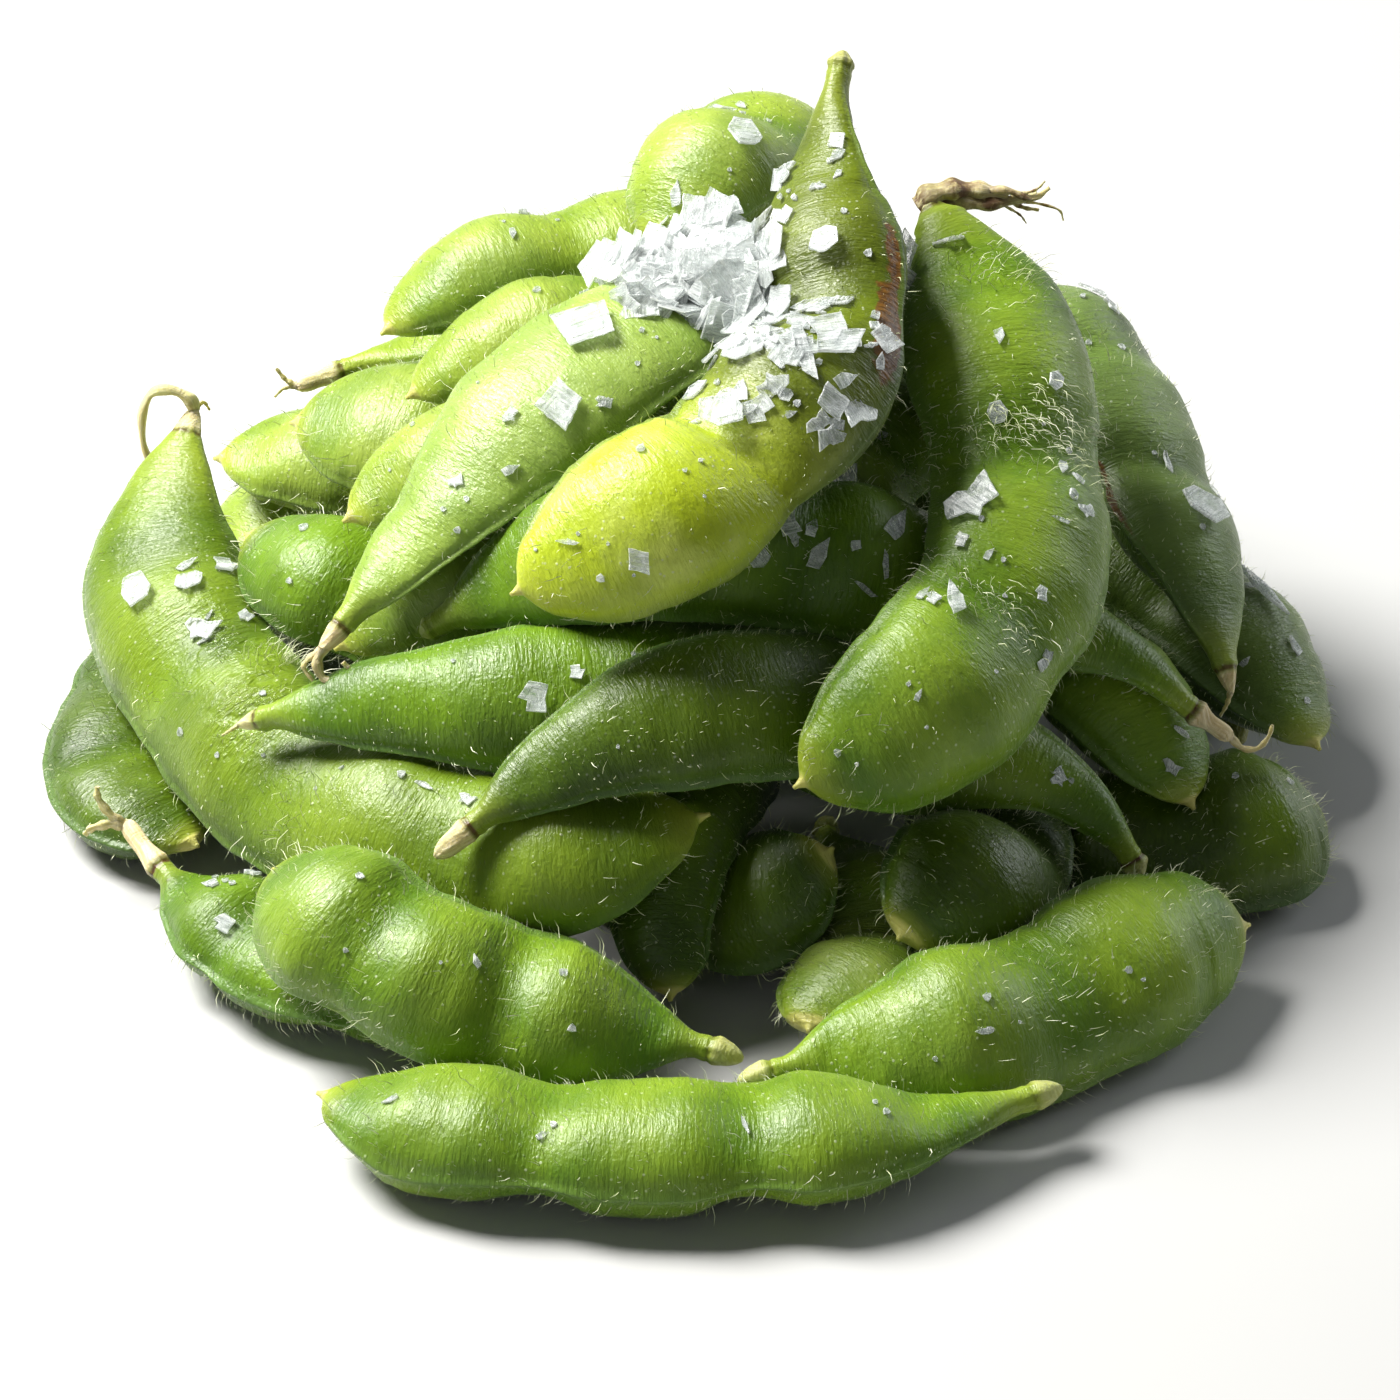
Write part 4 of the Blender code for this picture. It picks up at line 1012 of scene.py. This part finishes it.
def scatter_salt(tree):
    """Loose flakes on the pods' skins, none under another pod."""
    rng = np.random.default_rng(SCATTER_SEED)
    shape = Shape()
    for name, shares, turns, count, least, most in DUSTED:
        for _ in range(count):
            spot, up = on_pod(name, rng.uniform(*shares), rng.uniform(*turns))
            hit = tree.ray_cast(Vector(spot) + Vector(up) * 0.6 * MM, Vector(up), 4 * MM)
            if hit[0] is not None or up[2] < -0.2:
                continue
            size = (least + (most - least) * rng.uniform(0, 1) ** 1.5) * MM
            style, size, thick, steps = pick(rng, size, size * 1.05)
            lift = 0.02 * MM + 0.05 * size * (size > 0.9 * MM)
            add_flake(shape, rng, spot + up * lift, up, style, size, thick, steps, tilt=rng.normal(0, 0.16))
    finish_salt(shape, "salt_scatter")


def inside(tree, point):
    """True if the point is inside a pod."""
    near, normal, _, _ = tree.find_nearest(Vector(point))
    return near is not None and (Vector(point) - near).dot(normal) < 0


# The mound of salt on the top: its middle from the salted pod's beak and its radii, in millimetres.
MOUND_AT = (0.4, -1.0, -1.4)
MOUND_RADII = (10.6, 6.6, 5.2)
# Its kinds of flakes: how many, how deep in it, how much they stray from its slope, least and most size.
MOUND_FLAKES = (
    (200, 0.66, 0.90, 0.045, 2.6, 5.0),
    (130, 0.84, 1.02, 0.070, 1.8, 4.2),
    (70, 0.92, 1.12, 0.160, 1.2, 3.4),
    (34, 1.00, 1.08, 0.060, 3.2, 4.6),
)
# Where it lies thick on the pods beside it: the pod, shares along, degrees round, flakes, sizes and how deep.
BANKS = (
    ("tall", (0.27, 0.43), (28, 70), 48, 1.2, 4.2, 1.4),
    ("salted", (0.80, 0.98), (80, 175), 60, 1.2, 4.0, 1.4),
    ("tall", (0.42, 0.57), (28, 78), 7, 0.8, 3.4, 0.6),
)
# How many flakes are tried on the pods round its foot.
SPILL = 60
# The flakes of its slopes lean this way on the whole, to where the hollow is open.
MOUND_LEANS = np.array([-0.20, -0.62, 0.30])
# Flakes of the mound that come out inside a pod, but no deeper than this, lie on its skin.
MOUND_SINKS = 3.5 * MM
PILED_STYLES = ["square", "block", "notched", "shard"]
MOUND_CHANCES, BANK_CHANCES = [0.3, 0.4, 0.2, 0.1], [0.3, 0.3, 0.2, 0.2]


def pile_salt(tree):
    """The handful that fell on the top, in the hollow between the highest pods: a mound of flakes."""
    rng = np.random.default_rng(PILE_SEED)
    shape = Shape()
    centre = GRIDS["salted"].points[-1].mean(0) + np.array(MOUND_AT) * MM
    radii = np.array(MOUND_RADII) * MM

    def place(nearest, farthest):
        way = unit(rng.normal(0, 1, 3) * (1, 1, 0.8) + (0, -0.35, 0.45))
        turn = math.atan2(way[1], way[0])
        ragged = 1 + 0.16 * math.sin(3 * turn + 1) + 0.10 * math.sin(7 * turn)
        ragged += 0.08 * math.sin(7 * way[0] + 4 * way[2])
        return way, centre + way * radii * rng.uniform(nearest, farthest) * ragged

    def drop(spot, up, style, size):
        add_flake(shape, rng, spot, up, style, size, rng.uniform(0.10, 0.18) * MM, int(rng.integers(0, 2)))

    for count, nearest, farthest, stray, least, most in MOUND_FLAKES:
        for _ in range(count):
            way, spot = place(nearest, farthest)
            up = unit(unit(way / radii) + MOUND_LEANS + rng.normal(0, 2.8 * stray, 3))
            size = rng.uniform(least, most) * MM
            if inside(tree, spot):
                near, out, _, deep = tree.find_nearest(Vector(spot))
                if deep > MOUND_SINKS or out.z < 0.15:
                    continue
                spot = np.array(near + 0.3 * MM * out)
                up = unit(np.array(out) + rng.normal(0, 4 * stray, 3))
            drop(spot, up, rng.choice(PILED_STYLES, p=MOUND_CHANCES), size)
    for name, shares, turns, count, least, most, deep in BANKS:
        for _ in range(count):
            spot, up = on_pod(name, rng.uniform(*shares), rng.uniform(*turns))
            size = rng.uniform(least, most) * MM
            spot = spot + up * rng.uniform(0.15, deep) * MM
            if inside(tree, spot) or up[2] < 0:
                continue
            style = rng.choice(PILED_STYLES, p=BANK_CHANCES)
            up = unit(up + 0.6 * MOUND_LEANS + rng.normal(0, 0.22, 3))
            drop(spot, up, style, size)
    for _ in range(SPILL):
        way, spot = place(0.9, 1.3)
        hit = tree.ray_cast(Vector(spot) + Vector((0, 0, 6 * MM)), Vector((0, 0, -1)), 20 * MM)
        if hit[0] is None or np.linalg.norm(np.array(hit[0]) - spot) > 7 * MM:
            continue
        up = unit(np.array(hit[1]) + rng.normal(0, 0.3, 3))
        size = rng.uniform(0.5, 2.2) * MM
        style, size, thick, steps = pick(rng, size, size + 0.01 * MM)
        spot = np.array(hit[0]) + (0.15 + 0.12 * size / MM) * MM * up
        add_flake(shape, rng, spot, up, style, size, thick, steps)
    finish_salt(shape, "salt_pile")


large_flakes()
heap = heap_tree()
scatter_salt(heap)
pile_salt(heap)

# The camera looks along +Y and down at the heap, from 0.5 m.
ELEVATION = math.radians(32.5)
CAMERA_AIM = Vector((0.0010, 0.0053, 0.0055))
CAMERA_DISTANCE = 0.5
CAMERA_LENS = 156.8
back = Vector((0, -math.cos(ELEVATION), math.sin(ELEVATION)))
camera = bpy.data.objects.new("camera", bpy.data.cameras.new("camera"))
camera.location = CAMERA_AIM + CAMERA_DISTANCE * back
camera.rotation_euler = back.to_track_quat("Z", "Y").to_euler()
camera.data.sensor_width = 36
camera.data.lens = CAMERA_LENS
camera.data.clip_start = 0.01
bpy.context.scene.collection.objects.link(camera)
bpy.context.scene.camera = camera

# Soft studio lamps that aim at the heap's middle: place and width in metres, watts and colour.
LAMPS = {
    "key": ((-0.34, 0.16, 0.47), 0.30, 10.8, (1.0, 0.98, 0.94)),
    "rim": ((0.70, 0.45, 0.35), 0.5, 2.6, (0.92, 0.96, 1.0)),
    "fill": ((-0.25, -0.8, 0.45), 0.6, 0.5, (0.95, 0.98, 1.0)),
}
LAMP_AIM = Vector((0, 0, 0.02))
for name, (place, width, watts, colour) in LAMPS.items():
    lamp = bpy.data.lights.new(name, "AREA")
    lamp.shape = "DISK"
    lamp.size = width
    lamp.energy = watts
    lamp.color = colour
    thing = bpy.data.objects.new(name, lamp)
    thing.location = place
    thing.rotation_euler = (Vector(place) - LAMP_AIM).to_track_quat("Z", "Y").to_euler()
    bpy.context.scene.collection.objects.link(thing)

SKY_COLOUR, SKY_STRENGTH = (0.97, 0.98, 0.97, 1), 0.10
world = bpy.data.worlds.new("studio")
world.use_nodes = True
world.node_tree.nodes["Background"].inputs["Color"].default_value = SKY_COLOUR
world.node_tree.nodes["Background"].inputs["Strength"].default_value = SKY_STRENGTH
bpy.context.scene.world = world
bpy.context.scene.view_settings.view_transform = "Standard"

# The floor.
w = Wires("floor")
w.set(Base_Color=w.mix(w.noise(w.place(), 3, 3), (0.46, 0.47, 0.47), (0.50, 0.50, 0.50)), Roughness=0.6)
mesh = bpy.data.meshes.new("floor")
mesh.from_pydata([(-3, -3, 0), (3, -3, 0), (3, 3, 0), (-3, 3, 0)], [], [(0, 1, 2, 3)])
mesh.materials.append(w.material)
floor = bpy.data.objects.new("floor", mesh)
bpy.context.scene.collection.objects.link(floor)
